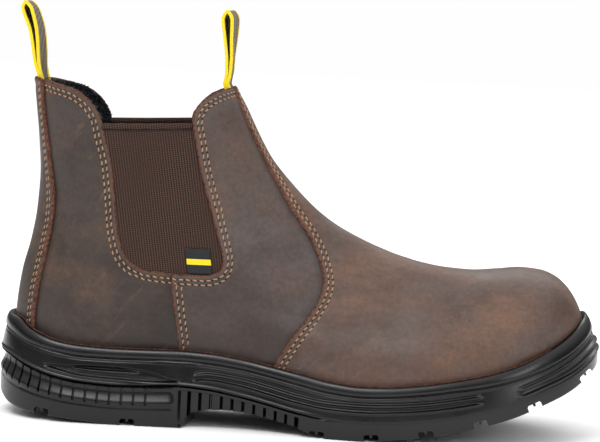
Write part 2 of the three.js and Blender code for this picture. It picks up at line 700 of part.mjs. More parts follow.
function loopBody(foot, lean) {
  const side = (sign, inset) => Array.from({ length: LOOP_STEPS + 1 }, (_, i) => {
    const h = Math.sin((Math.PI / 2) * (i / LOOP_STEPS));
    const slit = LOOP_SLIT * LOOP.width(h) / 2;
    const out = h === 1 ? 0 : slit + RIBBON_THICK * (1 - inset) * Math.min(1, (1 - h) * 18);
    const z = foot.z + h * (LOOP_HEIGHT - RIBBON_THICK * inset);
    return [foot.x + lean * LOOP.lean(h) + sign * out, z];
  });
  const outer = [...side(1, 0), ...side(-1, 0).reverse().slice(1)];
  const hole = [...side(1, 1).slice(3), ...side(-1, 1).slice(3).reverse().slice(1)];
  const ribbon = across(outer, -RIBBON_WIDTH / 2, RIBBON_WIDTH / 2)
    .subtract(across(hole, -RIBBON_WIDTH, RIBBON_WIDTH));
  return ribbon.translate([-foot.x, 0, 0]).rotate([0, 0, LOOP_TWIST]).translate([foot.x, 0, 0]);
}

// The ribbon's two ends, sewn flat against the inside of the collar
function loopTuck(foot) {
  const height = LOOP_TUCK + LOOP_RISE + RIBBON_THICK;
  const middle = COLLAR_HEIGHT + LOOP_RISE + RIBBON_THICK - height / 2;
  const place = new THREE.Matrix4().makeTranslation(foot.x, 0, middle);
  const room = form(-WALL - GAP).subtract(form(-WALL - GAP - 2 * RIBBON_THICK));
  return room.intersect(box(RIBBON_WIDTH, RIBBON_WIDTH, height, place));
}

function pullLoop(foot, lean) {
  return loopBody(foot, lean).add(loopTuck(foot));
}

// Places a manifold body in a named mesh with its own finish
function named(name, body, finish) {
  const out = body.simplify(TIDY).getMesh();
  const geometry = new THREE.BufferGeometry();
  geometry.setAttribute("position", new THREE.BufferAttribute(out.vertProperties, 3));
  geometry.setIndex(new THREE.BufferAttribute(out.triVerts, 1));
  geometry.computeVertexNormals();
  const mesh = new THREE.Mesh(geometry, new THREE.MeshStandardMaterial(finish));
  mesh.name = name;
  return mesh;
}

const LEATHER = { color: 0x5a463c, roughness: 0.75, metalness: 0 };
const RUBBER = { color: 0x242427, roughness: 0.5, metalness: 0 };
const ELASTIC = { color: 0x3e2d2a, roughness: 0.95, metalness: 0 };
const LINING = { color: 0x1c1c1e, roughness: 1, metalness: 0 };
const WEBBING = { color: 0xf5d93a, roughness: 0.8, metalness: 0 };
const LABEL = { color: 0x18181a, roughness: 0.8, metalness: 0 };

const backFoot = { x: backX(COLLAR_HEIGHT) + WALL, z: COLLAR_HEIGHT + LOOP_RISE };
const frontFoot = { x: -0.1286 * LENGTH - WALL - GAP, z: COLLAR_HEIGHT + LOOP_RISE };
const shoe = new THREE.Group();
shoe.add(
  named("outsole", outsole(), RUBBER),
  named("midsole", midsole(), RUBBER),
  named("insole", insole(), LINING),
  named("upper", upper(), LEATHER),
  named("gore_lateral", gore(-1), ELASTIC),
  named("gore_medial", gore(1), ELASTIC),
  named("side_tag", tag(), LABEL),
  named("back_pull_loop", pullLoop(backFoot, BACK_LEAN), WEBBING),
  named("front_pull_loop", pullLoop(frontFoot, FRONT_LEAN), WEBBING),
);

export default shoe;
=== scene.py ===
"""A pull-on work boot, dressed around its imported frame.

Shapes are worked out in millimetres, in the frame's own axes, and turned to metres when a mesh is made.
The tables hold shares of the named sizes, as the frame's solids do.
"""

import math

import bmesh
import bpy
import numpy as np
from mathutils import Matrix, Vector
from mathutils.geometry import delaunay_2d_cdt


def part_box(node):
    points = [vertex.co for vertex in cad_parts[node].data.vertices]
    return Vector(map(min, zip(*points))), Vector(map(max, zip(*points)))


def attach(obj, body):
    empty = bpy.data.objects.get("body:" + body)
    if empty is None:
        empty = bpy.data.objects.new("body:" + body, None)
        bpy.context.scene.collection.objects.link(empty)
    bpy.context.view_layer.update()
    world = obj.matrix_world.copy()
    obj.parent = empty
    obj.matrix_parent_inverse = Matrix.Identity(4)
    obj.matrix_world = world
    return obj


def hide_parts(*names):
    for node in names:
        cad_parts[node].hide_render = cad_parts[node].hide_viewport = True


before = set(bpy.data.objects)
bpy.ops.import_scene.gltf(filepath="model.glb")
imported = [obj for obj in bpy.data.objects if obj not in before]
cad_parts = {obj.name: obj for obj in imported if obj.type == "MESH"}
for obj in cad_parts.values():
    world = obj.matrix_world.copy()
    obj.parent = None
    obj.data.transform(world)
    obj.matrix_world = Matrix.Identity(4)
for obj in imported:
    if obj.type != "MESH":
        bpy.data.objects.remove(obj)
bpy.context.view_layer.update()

MM = 0.001

# Sizes in millimetres that the frame's solids share
LENGTH = (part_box("outsole")[1].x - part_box("outsole")[0].x) / MM
COLLAR_HEIGHT = 172
SOLE_HEIGHT = 38.5
BALL_WIDTH = 106
SHAFT_HALF = 35
LIP_INSET = 6
WALL = 3
GAP = 0.3
VAMP_STEP = 0.9
QUARTER_STEP = 0.6
GORE_SINK = 0.6
GORE_THICK = 1.2
TAG_THICK = 0.7
TAG_SIDE = 12.4
INSOLE_THICK = 4.5
RIBBON_WIDTH = 20
RIBBON_THICK = 1.3
LOOP_HEIGHT = 38
LOOP_TUCK = 10
LOOP_RISE = 1.2
LOOP_SLIT = 2.2
BACK_LEAN = -8
FRONT_LEAN = -1
HALF = LENGTH / 2

LEATHER_THICK = 2.1
SEED = 7
SIDES = ((-1, "lateral"), (1, "medial"))

# How far out of the form's skin each layer starts. The vamp and the back strap start on it.
FRONT_OUT = -VAMP_STEP
REAR_OUT = -VAMP_STEP - QUARTER_STEP
GORE_OUT = REAR_OUT - GORE_SINK


# Smooth tables

def through(at, values):
    """A smooth curve through a column that never overshoots it."""
    at, values = np.array(at, float), np.array(values, float)
    step = np.diff(at)
    rise = np.diff(values) / step
    slope = np.zeros(len(at))
    slope[0], slope[-1] = rise[0], rise[-1]
    for i in range(1, len(at) - 1):
        if rise[i - 1] * rise[i] > 0:
            before = 2 * step[i] + step[i - 1]
            after = step[i] + 2 * step[i - 1]
            slope[i] = (before + after) / (before / rise[i - 1] + after / rise[i])

    def curve(x):
        c = np.clip(x, at[0], at[-1])
        i = np.clip(np.searchsorted(at, c, side="right") - 1, 0, len(at) - 2)
        t = (c - at[i]) / step[i]
        t2, t3 = t * t, t * t * t
        return ((2 * t3 - 3 * t2 + 1) * values[i] + (t3 - 2 * t2 + t) * step[i] * slope[i]
                + (3 * t2 - 2 * t3) * values[i + 1] + (t3 - t2) * step[i] * slope[i + 1])

    return curve


def table(columns, rows):
    """A dictionary with one smooth curve for each named column."""
    at = [row[0] for row in rows]
    return {name: through(at, [row[i + 1] for row in rows]) for i, name in enumerate(columns)}


def ease(t):
    c = np.clip(t, 0, 1)
    return c * c * (3 - 2 * c)


def rounded(share, power):
    """The rounded rise of an end: 0 at the end itself, 1 from its full length on."""
    s = np.clip(share, 0, 1)
    return (1 - (1 - s) ** power) ** (1 / power)


def bell(t):
    return np.exp(-t * t)


# Outsole's plan, as shares of the ball width before its ends are rounded
PLAN = table(["lateral", "medial"], [
    [0.0, 0.354, 0.354],
    [0.1, 0.36, 0.354],
    [0.2, 0.363, 0.352],
    [0.3, 0.363, 0.335],
    [0.4, 0.382, 0.302],
    [0.5, 0.44, 0.335],
    [0.6, 0.495, 0.425],
    [0.66, 0.507, 0.472],
    [0.72, 0.503, 0.499],
    [0.78, 0.487, 0.507],
    [0.84, 0.465, 0.502],
    [0.9, 0.443, 0.495],
    [1.0, 0.406, 0.491],
])
HEEL_ROUND = 0.136
TOE_ROUND = 0.2
HEEL_POWER = 2.1
TOE_POWER = 2.3

# Lines round the sole, as shares of its height at the heel
LINES = table(["bottom", "parting", "low", "high", "bead", "lip", "floor"], [
    [0.0, 0.28, 0.86, 0.95, 0.98, 1.16, 1.325, 0.74],
    [0.02, 0.155, 0.816, 0.883, 0.922, 1.1, 1.307, 0.74],
    [0.05, 0.1, 0.712, 0.779, 0.818, 1.0, 1.17, 0.74],
    [0.1, 0.062, 0.597, 0.691, 0.758, 0.917, 1.055, 0.74],
    [0.15, 0.026, 0.54, 0.621, 0.771, 0.875, 1.013, 0.74],
    [0.2, 0.0, 0.52, 0.6, 0.766, 0.87, 1.0, 0.74],
    [0.25, 0.0, 0.532, 0.59, 0.732, 0.875, 1.003, 0.74],
    [0.3, 0.0, 0.553, 0.597, 0.634, 0.878, 1.01, 0.735],
    [0.35, 0.0, 0.53, 0.644, 0.725, 0.862, 0.995, 0.712],
    [0.4, 0.0, 0.468, 0.597, 0.686, 0.818, 0.948, 0.668],
    [0.45, 0.0, 0.39, 0.514, 0.608, 0.748, 0.878, 0.605],
    [0.5, 0.0, 0.306, 0.429, 0.522, 0.668, 0.805, 0.543],
    [0.55, 0.0, 0.255, 0.377, 0.468, 0.597, 0.73, 0.488],
    [0.6, 0.0, 0.244, 0.366, 0.462, 0.571, 0.699, 0.462],
    [0.65, 0.031, 0.26, 0.387, 0.478, 0.592, 0.714, 0.473],
    [0.7, 0.081, 0.296, 0.423, 0.514, 0.634, 0.758, 0.514],
    [0.75, 0.151, 0.358, 0.483, 0.574, 0.696, 0.823, 0.577],
    [0.8, 0.252, 0.452, 0.561, 0.647, 0.764, 0.904, 0.662],
    [0.85, 0.371, 0.566, 0.634, 0.722, 0.86, 1.018, 0.774],
    [0.9, 0.535, 0.712, 0.784, 0.878, 0.997, 1.184, 0.914],
    [0.95, 0.717, 0.894, 0.961, 1.073, 1.19, 1.392, 1.065],
    [1.0, 1.0, 1.143, 1.234, 1.338, 1.455, 1.662, 1.195],
])

# Upper: sections that fan from the toe to the collar
FAN_COLUMNS = ["topX", "topZ", "footX", "footZ", "dome", "power"]
FAN_ROWS = [
    [0, 0.4747, 0.291, 0.4747, 0.209, 0.026, 2.3],
    [1, 0.4737, 0.326, 0.4737, 0.209, 0.03, 2.3],
    [2, 0.4708, 0.355, 0.4708, 0.209, 0.037, 2.3],
    [3, 0.4653, 0.384, 0.4653, 0.209, 0.047, 2.3],
    [4, 0.4552, 0.419, 0.4552, 0.203, 0.06, 2.3],
    [5, 0.4416, 0.451, 0.4416, 0.192, 0.074, 2.3],
    [6, 0.4221, 0.479, 0.4221, 0.174, 0.09, 2.3],
    [7, 0.3961, 0.4955, 0.3961, 0.145, 0.109, 2.3],
    [8, 0.3636, 0.4995, 0.3636, 0.116, 0.125, 2.25],
    [9, 0.3247, 0.4915, 0.3247, 0.087, 0.138, 2.2],
    [10, 0.2825, 0.4845, 0.2792, 0.064, 0.151, 2.15],
    [11, 0.2435, 0.488, 0.2338, 0.052, 0.164, 2.1],
    [12, 0.2013, 0.5005, 0.1818, 0.035, 0.179, 2.05],
    [13, 0.1623, 0.5185, 0.1234, 0.029, 0.193, 2.0],
    [14, 0.1234, 0.542, 0.0617, 0.035, 0.208, 1.95],
    [15, 0.0844, 0.5715, -0.0032, 0.052, 0.226, 1.9],
    [16, 0.0519, 0.601, -0.0714, 0.076, 0.244, 1.85],
    [17, 0.0227, 0.636, -0.1461, 0.087, 0.256, 1.8],
    [18, -0.0032, 0.676, -0.224, 0.087, 0.258, 1.8],
    [19, -0.026, 0.717, -0.3052, 0.087, 0.247, 1.8],
    [20, -0.0455, 0.755, -0.4026, 0.081, 0.229, 1.82],
    [21, -0.0617, 0.791, -0.4805, 0.116, 0.211, 1.85],
    [22, -0.0747, 0.828, -0.479, 0.29, 0.194, 1.9],
    [23, -0.0864, 0.866, -0.4714, 0.419, 0.18, 1.92],
    [24, -0.0968, 0.902, -0.459, 0.517, 0.168, 1.95],
    [25, -0.1058, 0.934, -0.45, 0.616, 0.16, 1.97],
    [26, -0.1143, 0.961, -0.4468, 0.715, 0.154, 2.0],
    [27, -0.1227, 0.987, -0.451, 0.814, 0.15, 2.0],
    [28, -0.1318, 1.016, -0.4575, 0.913, 0.147, 2.0],
    [29, -0.1416, 1.049, -0.464, 1.012, 0.146, 2.0],
    [30, -0.1526, 1.093, -0.47, 1.116, 0.146, 2.0],
]
FAN = table(FAN_COLUMNS, FAN_ROWS)
LAST_ROW = len(FAN_ROWS) - 1
CORNER_ROW = 21
BACK_ROUND = 0.13
BULGE = 1.6
BULGE_HEIGHT = 14
RISE_START = 6
RISE_HEIGHT = 72
TOE_TIP = FAN_ROWS[0][1] * LENGTH
SHAFT = table(["lateral", "medial"], [
    [0.0, 0.98, 0.96],
    [0.35, 0.98, 0.96],
    [0.55, 0.94, 0.93],
    [0.68, 0.93, 0.93],
    [0.82, 0.97, 0.97],
    [1.0, 1.03, 1.03],
    [1.1, 1.05, 1.05],
])
back_x = through(
    [row[4] * COLLAR_HEIGHT for row in FAN_ROWS[CORNER_ROW:]],
    [row[3] * LENGTH for row in FAN_ROWS[CORNER_ROW:]],
)

# Seams in the side view, as shares of the length and of the collar height
VAMP_EDGE = [
    [-0.1338, 1.02], [-0.1075, 0.91], [-0.0818, 0.818], [-0.054, 0.731], [-0.0234, 0.642],
    [0.0032, 0.578], [0.0253, 0.498], [0.0318, 0.434], [0.0153, 0.361], [-0.0143, 0.286],
    [-0.0425, 0.196], [-0.068, 0.06],
]
STRAP_EDGE = [
    [-0.447, 1.04], [-0.441, 0.9], [-0.4295, 0.776], [-0.419, 0.66], [-0.4195, 0.59],
    [-0.428, 0.49], [-0.4395, 0.36], [-0.4425, 0.25], [-0.441, 0.1],
]
SIDE_SEAM = [
    [-0.2166, 0.48], [-0.2162, 0.419], [-0.2088, 0.334], [-0.1997, 0.233], [-0.192, 0.1],
]
GORE_EDGE = [
    [-0.342, 0.91], [-0.3403, 0.878], [-0.335, 0.84], [-0.3244, 0.78], [-0.316, 0.69],
    [-0.3124, 0.63], [-0.306, 0.555], [-0.2935, 0.495], [-0.27, 0.462], [-0.235, 0.4525],
    [-0.19, 0.4495], [-0.153, 0.452], [-0.1372, 0.466], [-0.1335, 0.491], [-0.1425, 0.557],
    [-0.1565, 0.642], [-0.1735, 0.74], [-0.1857, 0.837], [-0.1925, 0.893], [-0.1945, 0.92],
]
REAR_COLLAR = [
    [-0.51, 1.004], [-0.462, 1.001], [-0.4234, 0.988], [-0.3896, 0.973], [-0.365, 0.9465],
    [-0.3487, 0.912], [-0.3403, 0.878], [-0.336, 0.85],
]
FRONT_COLLAR = [
    [-0.193, 0.86], [-0.1925, 0.893], [-0.1895, 0.925], [-0.1805, 0.953], [-0.162, 0.98],
    [-0.1286, 1.003], [-0.05, 1.02],
]
GORE_TOP = [[-0.36, 0.8765], [-0.3403, 0.878], [-0.264, 0.884], [-0.1925, 0.893], [-0.17, 0.8955]]
SKIRT = 5


# The sole's plan and lines

def share_of(x):
    return (x + HALF) / LENGTH


def line(name, x):
    return SOLE_HEIGHT * LINES[name](share_of(x))


def plan_middle(x):
    at = share_of(x)
    return (PLAN["medial"](at) - PLAN["lateral"](at)) / 2 * BALL_WIDTH


def plan_reach(x, inset):
    at = share_of(x)
    return (PLAN["medial"](at) + PLAN["lateral"](at)) / 2 * BALL_WIDTH - inset


def toe_round(x, tip):
    return rounded((tip - x) / (TOE_ROUND * LENGTH), TOE_POWER)


def heel_round(x, back, share):
    return rounded((x - back) / (share * LENGTH), HEEL_POWER)


def plan_y(x, side):
    return plan_middle(x) + side * plan_reach(x, 0) * heel_round(x, -HALF, HEEL_ROUND) * toe_round(x, HALF)


# The upper's form: row counts sections from the toe to the collar, and u runs over the foot
# from -1, low on the outer side, through 0, the top line, to 1, low on the inner side

def form_point(row, u):
    flip = row < 0
    row = np.abs(row)
    u = np.where(flip, -u, u)
    over = (np.abs(u) > 1) & (row >= CORNER_ROW)
    u = np.clip(np.where(over, u - 2 * np.sign(u), u), -1, 1)
    side = np.where(u < 0, -1.0, 1.0)
    share = (1 - np.cos(np.pi * np.abs(u))) / 2
    top_x, top_z = FAN["topX"](row) * LENGTH, FAN["topZ"](row) * COLLAR_HEIGHT
    foot_x, foot_z = FAN["footX"](row) * LENGTH, FAN["footZ"](row) * COLLAR_HEIGHT
    x = top_x + (foot_x - top_x) * share
    z = top_z + (foot_z - top_z) * share
    down = share * np.hypot(foot_x - top_x, foot_z - top_z)
    above = z - line("lip", x)
    level = z / COLLAR_HEIGHT
    rise = ease((above - RISE_START) / RISE_HEIGHT)
    shaft = SHAFT_HALF * np.where(side < 0, SHAFT["lateral"](level), SHAFT["medial"](level))
    swell = BULGE * np.maximum(0, 1 - ((above - BULGE_HEIGHT) / BULGE_HEIGHT) ** 2)
    body = plan_reach(x, LIP_INSET) * (1 - rise) + shaft * rise + swell
    front = rounded(down / (FAN["dome"](row) * LENGTH), FAN["power"](row))
    ends = heel_round(x, back_x(z), BACK_ROUND) * toe_round(x, TOE_TIP)
    y = plan_middle(x) * (1 - rise) + side * body * front * ends
    return np.stack([x, y, z], -1)


ROW_STEP = 0.03
U_STEP = 0.006


def unit(v):
    return v / np.maximum(np.linalg.norm(v, axis=-1, keepdims=True), 1e-9)


def slopes(row, u):
    """How the form's points move with row and with u."""
    along_row = (form_point(row + ROW_STEP, u) - form_point(row - ROW_STEP, u)) / (2 * ROW_STEP)
    along_u = (form_point(row, u + U_STEP) - form_point(row, u - U_STEP)) / (2 * U_STEP)
    return along_row, along_u


def normal_at(row, u):
    along_row, along_u = slopes(row, u)
    return unit(np.cross(along_u, along_row))


def skin(row, u, out):
    """A point of the form moved out along its normal."""
    return form_point(row, u) + normal_at(row, u) * np.asarray(out)[..., None]


def fan_line(end, rows):
    """The side-view line of one end of the form's rows, top or foot."""
    return np.stack([FAN[end + "X"](rows) * LENGTH, FAN[end + "Z"](rows) * COLLAR_HEIGHT], -1)


SEARCH = np.linspace(0.0, LAST_ROW, 1201)
SEARCH_TOP, SEARCH_FOOT = fan_line("top", SEARCH), fan_line("foot", SEARCH)


def locate(points):
    """The row and the plain u, from 0 to 1, of points in the side view."""
    p = np.asarray(points, float)[:, None, :]
    along = SEARCH_FOOT - SEARCH_TOP
    rel = p - SEARCH_TOP
    cross = along[:, 0] * rel[..., 1] - along[:, 1] * rel[..., 0]
    share = (rel * along).sum(-1) / (along ** 2).sum(-1)
    crossing = (cross[:, :-1] * cross[:, 1:] <= 0) & (share[:, :-1] > -0.2) & (share[:, :-1] < 1.2)
    far = np.where(crossing, np.abs(share[:, :-1] - 0.5), 9.0)
    k = far.argmin(1)
    i = np.arange(len(k))
    a, b = cross[i, k], cross[i, k + 1]
    t = a / np.where(a == b, 1, a - b)
    row = SEARCH[k] + t * (SEARCH[1] - SEARCH[0])
    s = share[i, k] * (1 - t) + share[i, k + 1] * t
    return row, np.arccos(1 - 2 * np.clip(s, 0, 1)) / np.pi


def shift(row, u, direction, distance):
    """Row and u moved by a distance in millimetres along a direction that lies in the form."""
    along_row, along_u = slopes(row, u)
    move = direction * np.asarray(distance)[..., None]
    rr, uu = (along_row ** 2).sum(-1), (along_u ** 2).sum(-1)
    ru = (along_row * along_u).sum(-1)
    mr, mu = (along_row * move).sum(-1), (along_u * move).sum(-1)
    det = np.maximum(rr * uu - ru * ru, 1e-9)
    return row + (mr * uu - mu * ru) / det, u + (mu * rr - mr * ru) / det


# Curves in the side view

CURVE_STEP = 0.6


def run_along(points):
    """The run along points, from the first to each of them."""
    return np.concatenate([[0], np.cumsum(np.linalg.norm(np.diff(points, axis=0), axis=1))])


def at_runs(at, run, values):
    """Rows of values at places along a run."""
    return np.stack([np.interp(at, run, values[:, k]) for k in range(values.shape[1])], -1)


def side_curve(shares):
    """A smooth curve through side-view shares, as evenly spaced points in millimetres."""
    p = np.array(shares, float) * [LENGTH, COLLAR_HEIGHT]
    p = np.vstack([2 * p[0] - p[1], p, 2 * p[-1] - p[-2]])
    knots = np.concatenate([[0], np.cumsum(np.linalg.norm(np.diff(p, axis=0), axis=1) ** 0.5)])
    out = []
    for i in range(1, len(p) - 2):
        t0, t1, t2, t3 = knots[i - 1:i + 3]
        t = np.linspace(t1, t2, 24, endpoint=i == len(p) - 3)[:, None]
        a1 = (t1 - t) / (t1 - t0) * p[i - 1] + (t - t0) / (t1 - t0) * p[i]
        a2 = (t2 - t) / (t2 - t1) * p[i] + (t - t1) / (t2 - t1) * p[i + 1]
        a3 = (t3 - t) / (t3 - t2) * p[i + 1] + (t - t2) / (t3 - t2) * p[i + 2]
        b1 = (t2 - t) / (t2 - t0) * a1 + (t - t0) / (t2 - t0) * a2
        b2 = (t3 - t) / (t3 - t1) * a2 + (t - t1) / (t3 - t1) * a3
        out.append((t2 - t) / (t2 - t1) * b1 + (t - t1) / (t2 - t1) * b2)
    return resample(np.vstack(out), CURVE_STEP)


def resample(points, spacing):
    run = run_along(points)
    count = max(2, int(round(run[-1] / spacing)) + 1)
    return at_runs(np.linspace(0, run[-1], count), run, points)


def meet(a, b):
    """Where curve a first crosses curve b, as places along both."""
    d1, d2 = np.diff(a, axis=0)[:, None], np.diff(b, axis=0)[None]
    r = b[None, :-1] - a[:-1, None]
    det = d1[..., 0] * d2[..., 1] - d1[..., 1] * d2[..., 0]
    det = np.where(np.abs(det) < 1e-12, 1e-12, det)
    t = (r[..., 0] * d2[..., 1] - r[..., 1] * d2[..., 0]) / det
    s = (r[..., 0] * d1[..., 1] - r[..., 1] * d1[..., 0]) / det
    i, j = np.argwhere((t >= 0) & (t <= 1) & (s >= 0) & (s <= 1))[0]
    return i + t[i, j], j + s[i, j]


def stretch(curve, start, end):
    """The stretch of a curve between two places along it, turned round where start comes after end."""
    if start > end:
        return stretch(curve, end, start)[::-1]
    index = np.arange(len(curve))
    inner = curve[(index > start) & (index < end)]
    ends = at_runs([start, end], index, curve)
    return np.vstack([ends[:1], inner, ends[1:]])


def draw_in(curve, distance):
    """A side-view curve moved to its left by a distance."""
    along = unit(np.gradient(curve, axis=0))
    return curve + np.stack([-along[:, 1], along[:, 0]], -1) * distance


def bottom_curve(depth=SKIRT):
    x = np.linspace(-HALF, HALF, 600)
    return np.stack([x, line("lip", x) - depth], -1)


VAMP_CURVE = side_curve(VAMP_EDGE)
STRAP_CURVE = side_curve(STRAP_EDGE)
SEAM_CURVE = side_curve(SIDE_SEAM)
GORE_CURVE = side_curve(GORE_EDGE)
REAR_TOP = side_curve(REAR_COLLAR)
FRONT_TOP = side_curve(FRONT_COLLAR)
ELASTIC_TOP = side_curve(GORE_TOP)
BOTTOM = bottom_curve()
GORE_HALF = len(GORE_CURVE) // 2


def top_line_place(curve):
    """Where a side-view curve reaches the front's top line."""
    return meet(curve, fan_line("top", np.linspace(0, LAST_ROW, 900)))[0]


def back_line_place(curve):
    """Where a side-view curve reaches the heel's back line."""
    z = np.linspace(20, COLLAR_HEIGHT * 1.1, 900)
    return meet(curve, np.stack([back_x(z), z], -1))[0]


# Meshes

def mesh_object(name, points, faces, material, slot, node):
    """A piece of the boot, in metres, riding on the body and standing for a node."""
    mesh = bpy.data.meshes.new(name)
    mesh.from_pydata((np.asarray(points) * MM).tolist(), [], [tuple(map(int, f)) for f in faces])
    mesh.validate()
    piece = bpy.data.objects.new(name, mesh)
    bpy.context.scene.collection.objects.link(piece)
    for one in material if isinstance(material, (list, tuple)) else [material]:
        mesh.materials.append(one)
    mesh.polygons.foreach_set("use_smooth", [True] * len(mesh.polygons))
    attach(piece, "root")
    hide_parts(node)
    return piece


def add_attribute(piece, name, values):
    layer = piece.data.attributes.new(name, "FLOAT", "POINT")
    layer.data.foreach_set("value", np.asarray(values, np.float32))


def outward_faces(piece):
    """Turns every closed shell's faces outwards."""
    work = bmesh.new()
    work.from_mesh(piece.data)
    bmesh.ops.recalc_face_normals(work, faces=work.faces)
    work.to_mesh(piece.data)
    work.free()


def wall_faces(grid):
    """Quads between the rows of a grid of point numbers, each row running round the wall."""
    a, b = grid[:-1], grid[1:]
    return np.stack([a, np.roll(a, -1, 1), np.roll(b, -1, 1), b], -1).reshape(-1, 4).tolist()


def closed_faces(rows, around):
    """A tube's wall and its two ends."""
    grid = np.arange(rows * around).reshape(rows, around)
    return wall_faces(grid) + [grid[0][::-1].tolist(), grid[-1].tolist()]


# The flat plane that panels are cut in: x is the run along the foot, y goes round it

PLANE_ROWS = np.linspace(-0.5, LAST_ROW, 1500)
PLANE_RUN = run_along(form_point(PLANE_ROWS, np.full(len(PLANE_ROWS), -0.55)))
PLANE_ROUND = 120


def to_plane(row, u):
    return np.stack([np.interp(row, PLANE_ROWS, PLANE_RUN), u * PLANE_ROUND], -1)


def from_plane(p):
    return np.interp(p[:, 0], PLANE_RUN, PLANE_ROWS), p[:, 1] / PLANE_ROUND


def inside(points, loop):
    """Which points lie in a closed loop."""
    result = np.zeros(len(points), bool)
    a, b = loop, np.roll(loop, -1, axis=0)
    for start in range(0, len(points), 4000):
        p = points[start:start + 4000, None, :]
        spans = (a[:, 1] > p[..., 1]) != (b[:, 1] > p[..., 1])
        height = np.where(b[:, 1] == a[:, 1], 1e-12, b[:, 1] - a[:, 1])
        at = (b[:, 0] - a[:, 0]) * (p[..., 1] - a[:, 1]) / height + a[:, 0]
        result[start:start + 4000] = (spans & (p[..., 0] < at)).sum(1) % 2 == 1
    return result


def nearest(points, targets):
    """Distance from each point to the nearest target."""
    out = np.full(len(points), 1e9)
    for start in range(0, len(points), 3000):
        d = points[start:start + 3000, None, :] - targets[None]
        out[start:start + 3000] = np.sqrt((d ** 2).sum(-1)).min(1)
    return out


def triangulate(loop, grid):
    """Triangles that fill a loop through grid points. The loop's own points come first."""
    coords = np.vstack([loop, grid])
    verts, _, faces, origin, _, _ = delaunay_2d_cdt(
        [Vector(p) for p in coords.tolist()], [], [list(range(len(loop)))], 1, 1e-6)
    order = np.array([o[0] if o else -1 for o in origin])
    points = np.array([v[:] for v in verts])
    slot_of = np.full(len(coords), -1)
    slot_of[order[order >= 0]] = np.arange(len(order))[order >= 0]
    return points, np.array([f for f in faces if len(f) == 3]), slot_of[:len(loop)]


# Rounded edge of a cut panel: how far in and how deep each ring lies
CUT_RINGS = [(0.5, 0.0), (0.24, 0.14), (0.0, 0.5)]
CUT_FOOT = 0.3
# Stands for "no seam near by" in the seam and cover distances
FAR = 30.0


def panel(name, loop, out, thick, materials, slot, node, spacing=1.3, relief=None, rough=0.1, seams=None,
          inner_relief=None, bevel=1.0, cover=None):
    """A cut piece of leather or cloth on the form.

    loop holds (row, u) pairs round the piece. Its cut edge takes the second material.
    """
    row, u = loop[:, 0], loop[:, 1]
    place = form_point(row, u)
    along = unit(np.roll(place, -1, axis=0) - np.roll(place, 1, axis=0))
    normal = normal_at(row, u)
    inward = unit(np.cross(normal, along))
    plane = to_plane(row, u)
    area = np.sum(plane[:, 0] * np.roll(plane[:, 1], -1) - plane[:, 1] * np.roll(plane[:, 0], -1))
    # the plane is mirrored against the form's outside
    inward *= 1 if area < 0 else -1
    wobble = rough * np.random.default_rng(len(name)).standard_normal(len(row))
    wobble = (wobble + np.roll(wobble, 1)) / 2
    rings = [shift(row, u, inward, np.full(len(row), inset * bevel) + wobble) for inset, _ in CUT_RINGS]
    edge_plane = to_plane(*rings[0])

    low, high = edge_plane.min(0), edge_plane.max(0)
    gx, gy = np.meshgrid(np.arange(low[0], high[0], spacing), np.arange(low[1], high[1], spacing * 0.95))
    gx = gx + (np.arange(gx.shape[0]) % 2)[:, None] * spacing / 2
    grid = np.stack([gx.ravel(), gy.ravel()], -1)
    grid = grid[inside(grid, edge_plane)]
    near = nearest(grid, edge_plane)
    grid = grid[near > spacing * 0.55]
    points, faces, edge = triangulate(edge_plane, grid)
    grid_row, grid_u = from_plane(points)
    grid_row[edge], grid_u[edge] = rings[0]

    base = form_point(grid_row, grid_u)
    seam = np.full(len(base), FAR)
    if seams is not None:
        seam = nearest(base, seams)
    lift = np.full(len(base), float(out))
    if relief is not None:
        lift = lift + relief(grid_row, grid_u, base, seam)
    outer = base + normal_at(grid_row, grid_u) * lift[:, None]
    depth = np.full(len(base), float(out - thick))
    if inner_relief is not None:
        depth = depth + inner_relief(grid_row, grid_u, base, seam)
    inner = base + normal_at(grid_row, grid_u) * depth[:, None]
    count = len(base)

    sets = [outer, inner]
    edge_lift = lift[edge] - out
    chain = [edge]
    start = 2 * count
    for (ring_row, ring_u), (_, depth) in list(zip(rings, CUT_RINGS))[1:]:
        sets.append(skin(ring_row, ring_u, out + edge_lift - depth))
        chain.append(np.arange(start, start + len(edge)))
        start += len(edge)
    sets.append(skin(*rings[-1], np.full(len(edge), out - thick + CUT_FOOT)))
    chain.append(np.arange(start, start + len(edge)))
    chain.append(edge + count)
    points3 = np.vstack(sets)
    all_faces = [faces, faces[:, ::-1] + count]
    raw_from = sum(len(f) for f in all_faces)
    for a, b in zip(chain, chain[1:]):
        a2, b2 = np.roll(a, -1), np.roll(b, -1)
        all_faces.append(np.stack([a, a2, b2], -1))
        all_faces.append(np.stack([a, b2, b], -1))
    all_faces = np.vstack(all_faces)
    piece = mesh_object(name, points3, all_faces, materials, slot, node)
    index = np.zeros(len(all_faces), np.int32)
    index[raw_from:] = 1
    if len(piece.data.polygons) == len(index) and len(materials) > 1:
        piece.data.polygons.foreach_set("material_index", index)
    outward_faces(piece)
    values = np.zeros(len(points3))
    values[:count] = seam
    values[count:2 * count] = FAR
    add_attribute(piece, "seam", values)
    # Distance to the covering panel's edge, which drives the painted shadow beside it
    under = np.full(len(points3), FAR)
    if cover is not None:
        under[:count] = nearest(base, cover)
    add_attribute(piece, "cover", under)
    return piece


def on_form(curve, side):
    """Side-view points as (row, u) pairs on one side."""
    row, u = locate(curve)
    return np.stack([row, u * side], -1)


def both_sides(lateral, end_u):
    """The outer side's (row, u) pairs and their mirror image, as one loop whose ends lie at end_u."""
    lateral[[0, -1], 1] = end_u
    return np.vstack([lateral, (lateral * [1, -1])[::-1][1:-1]])


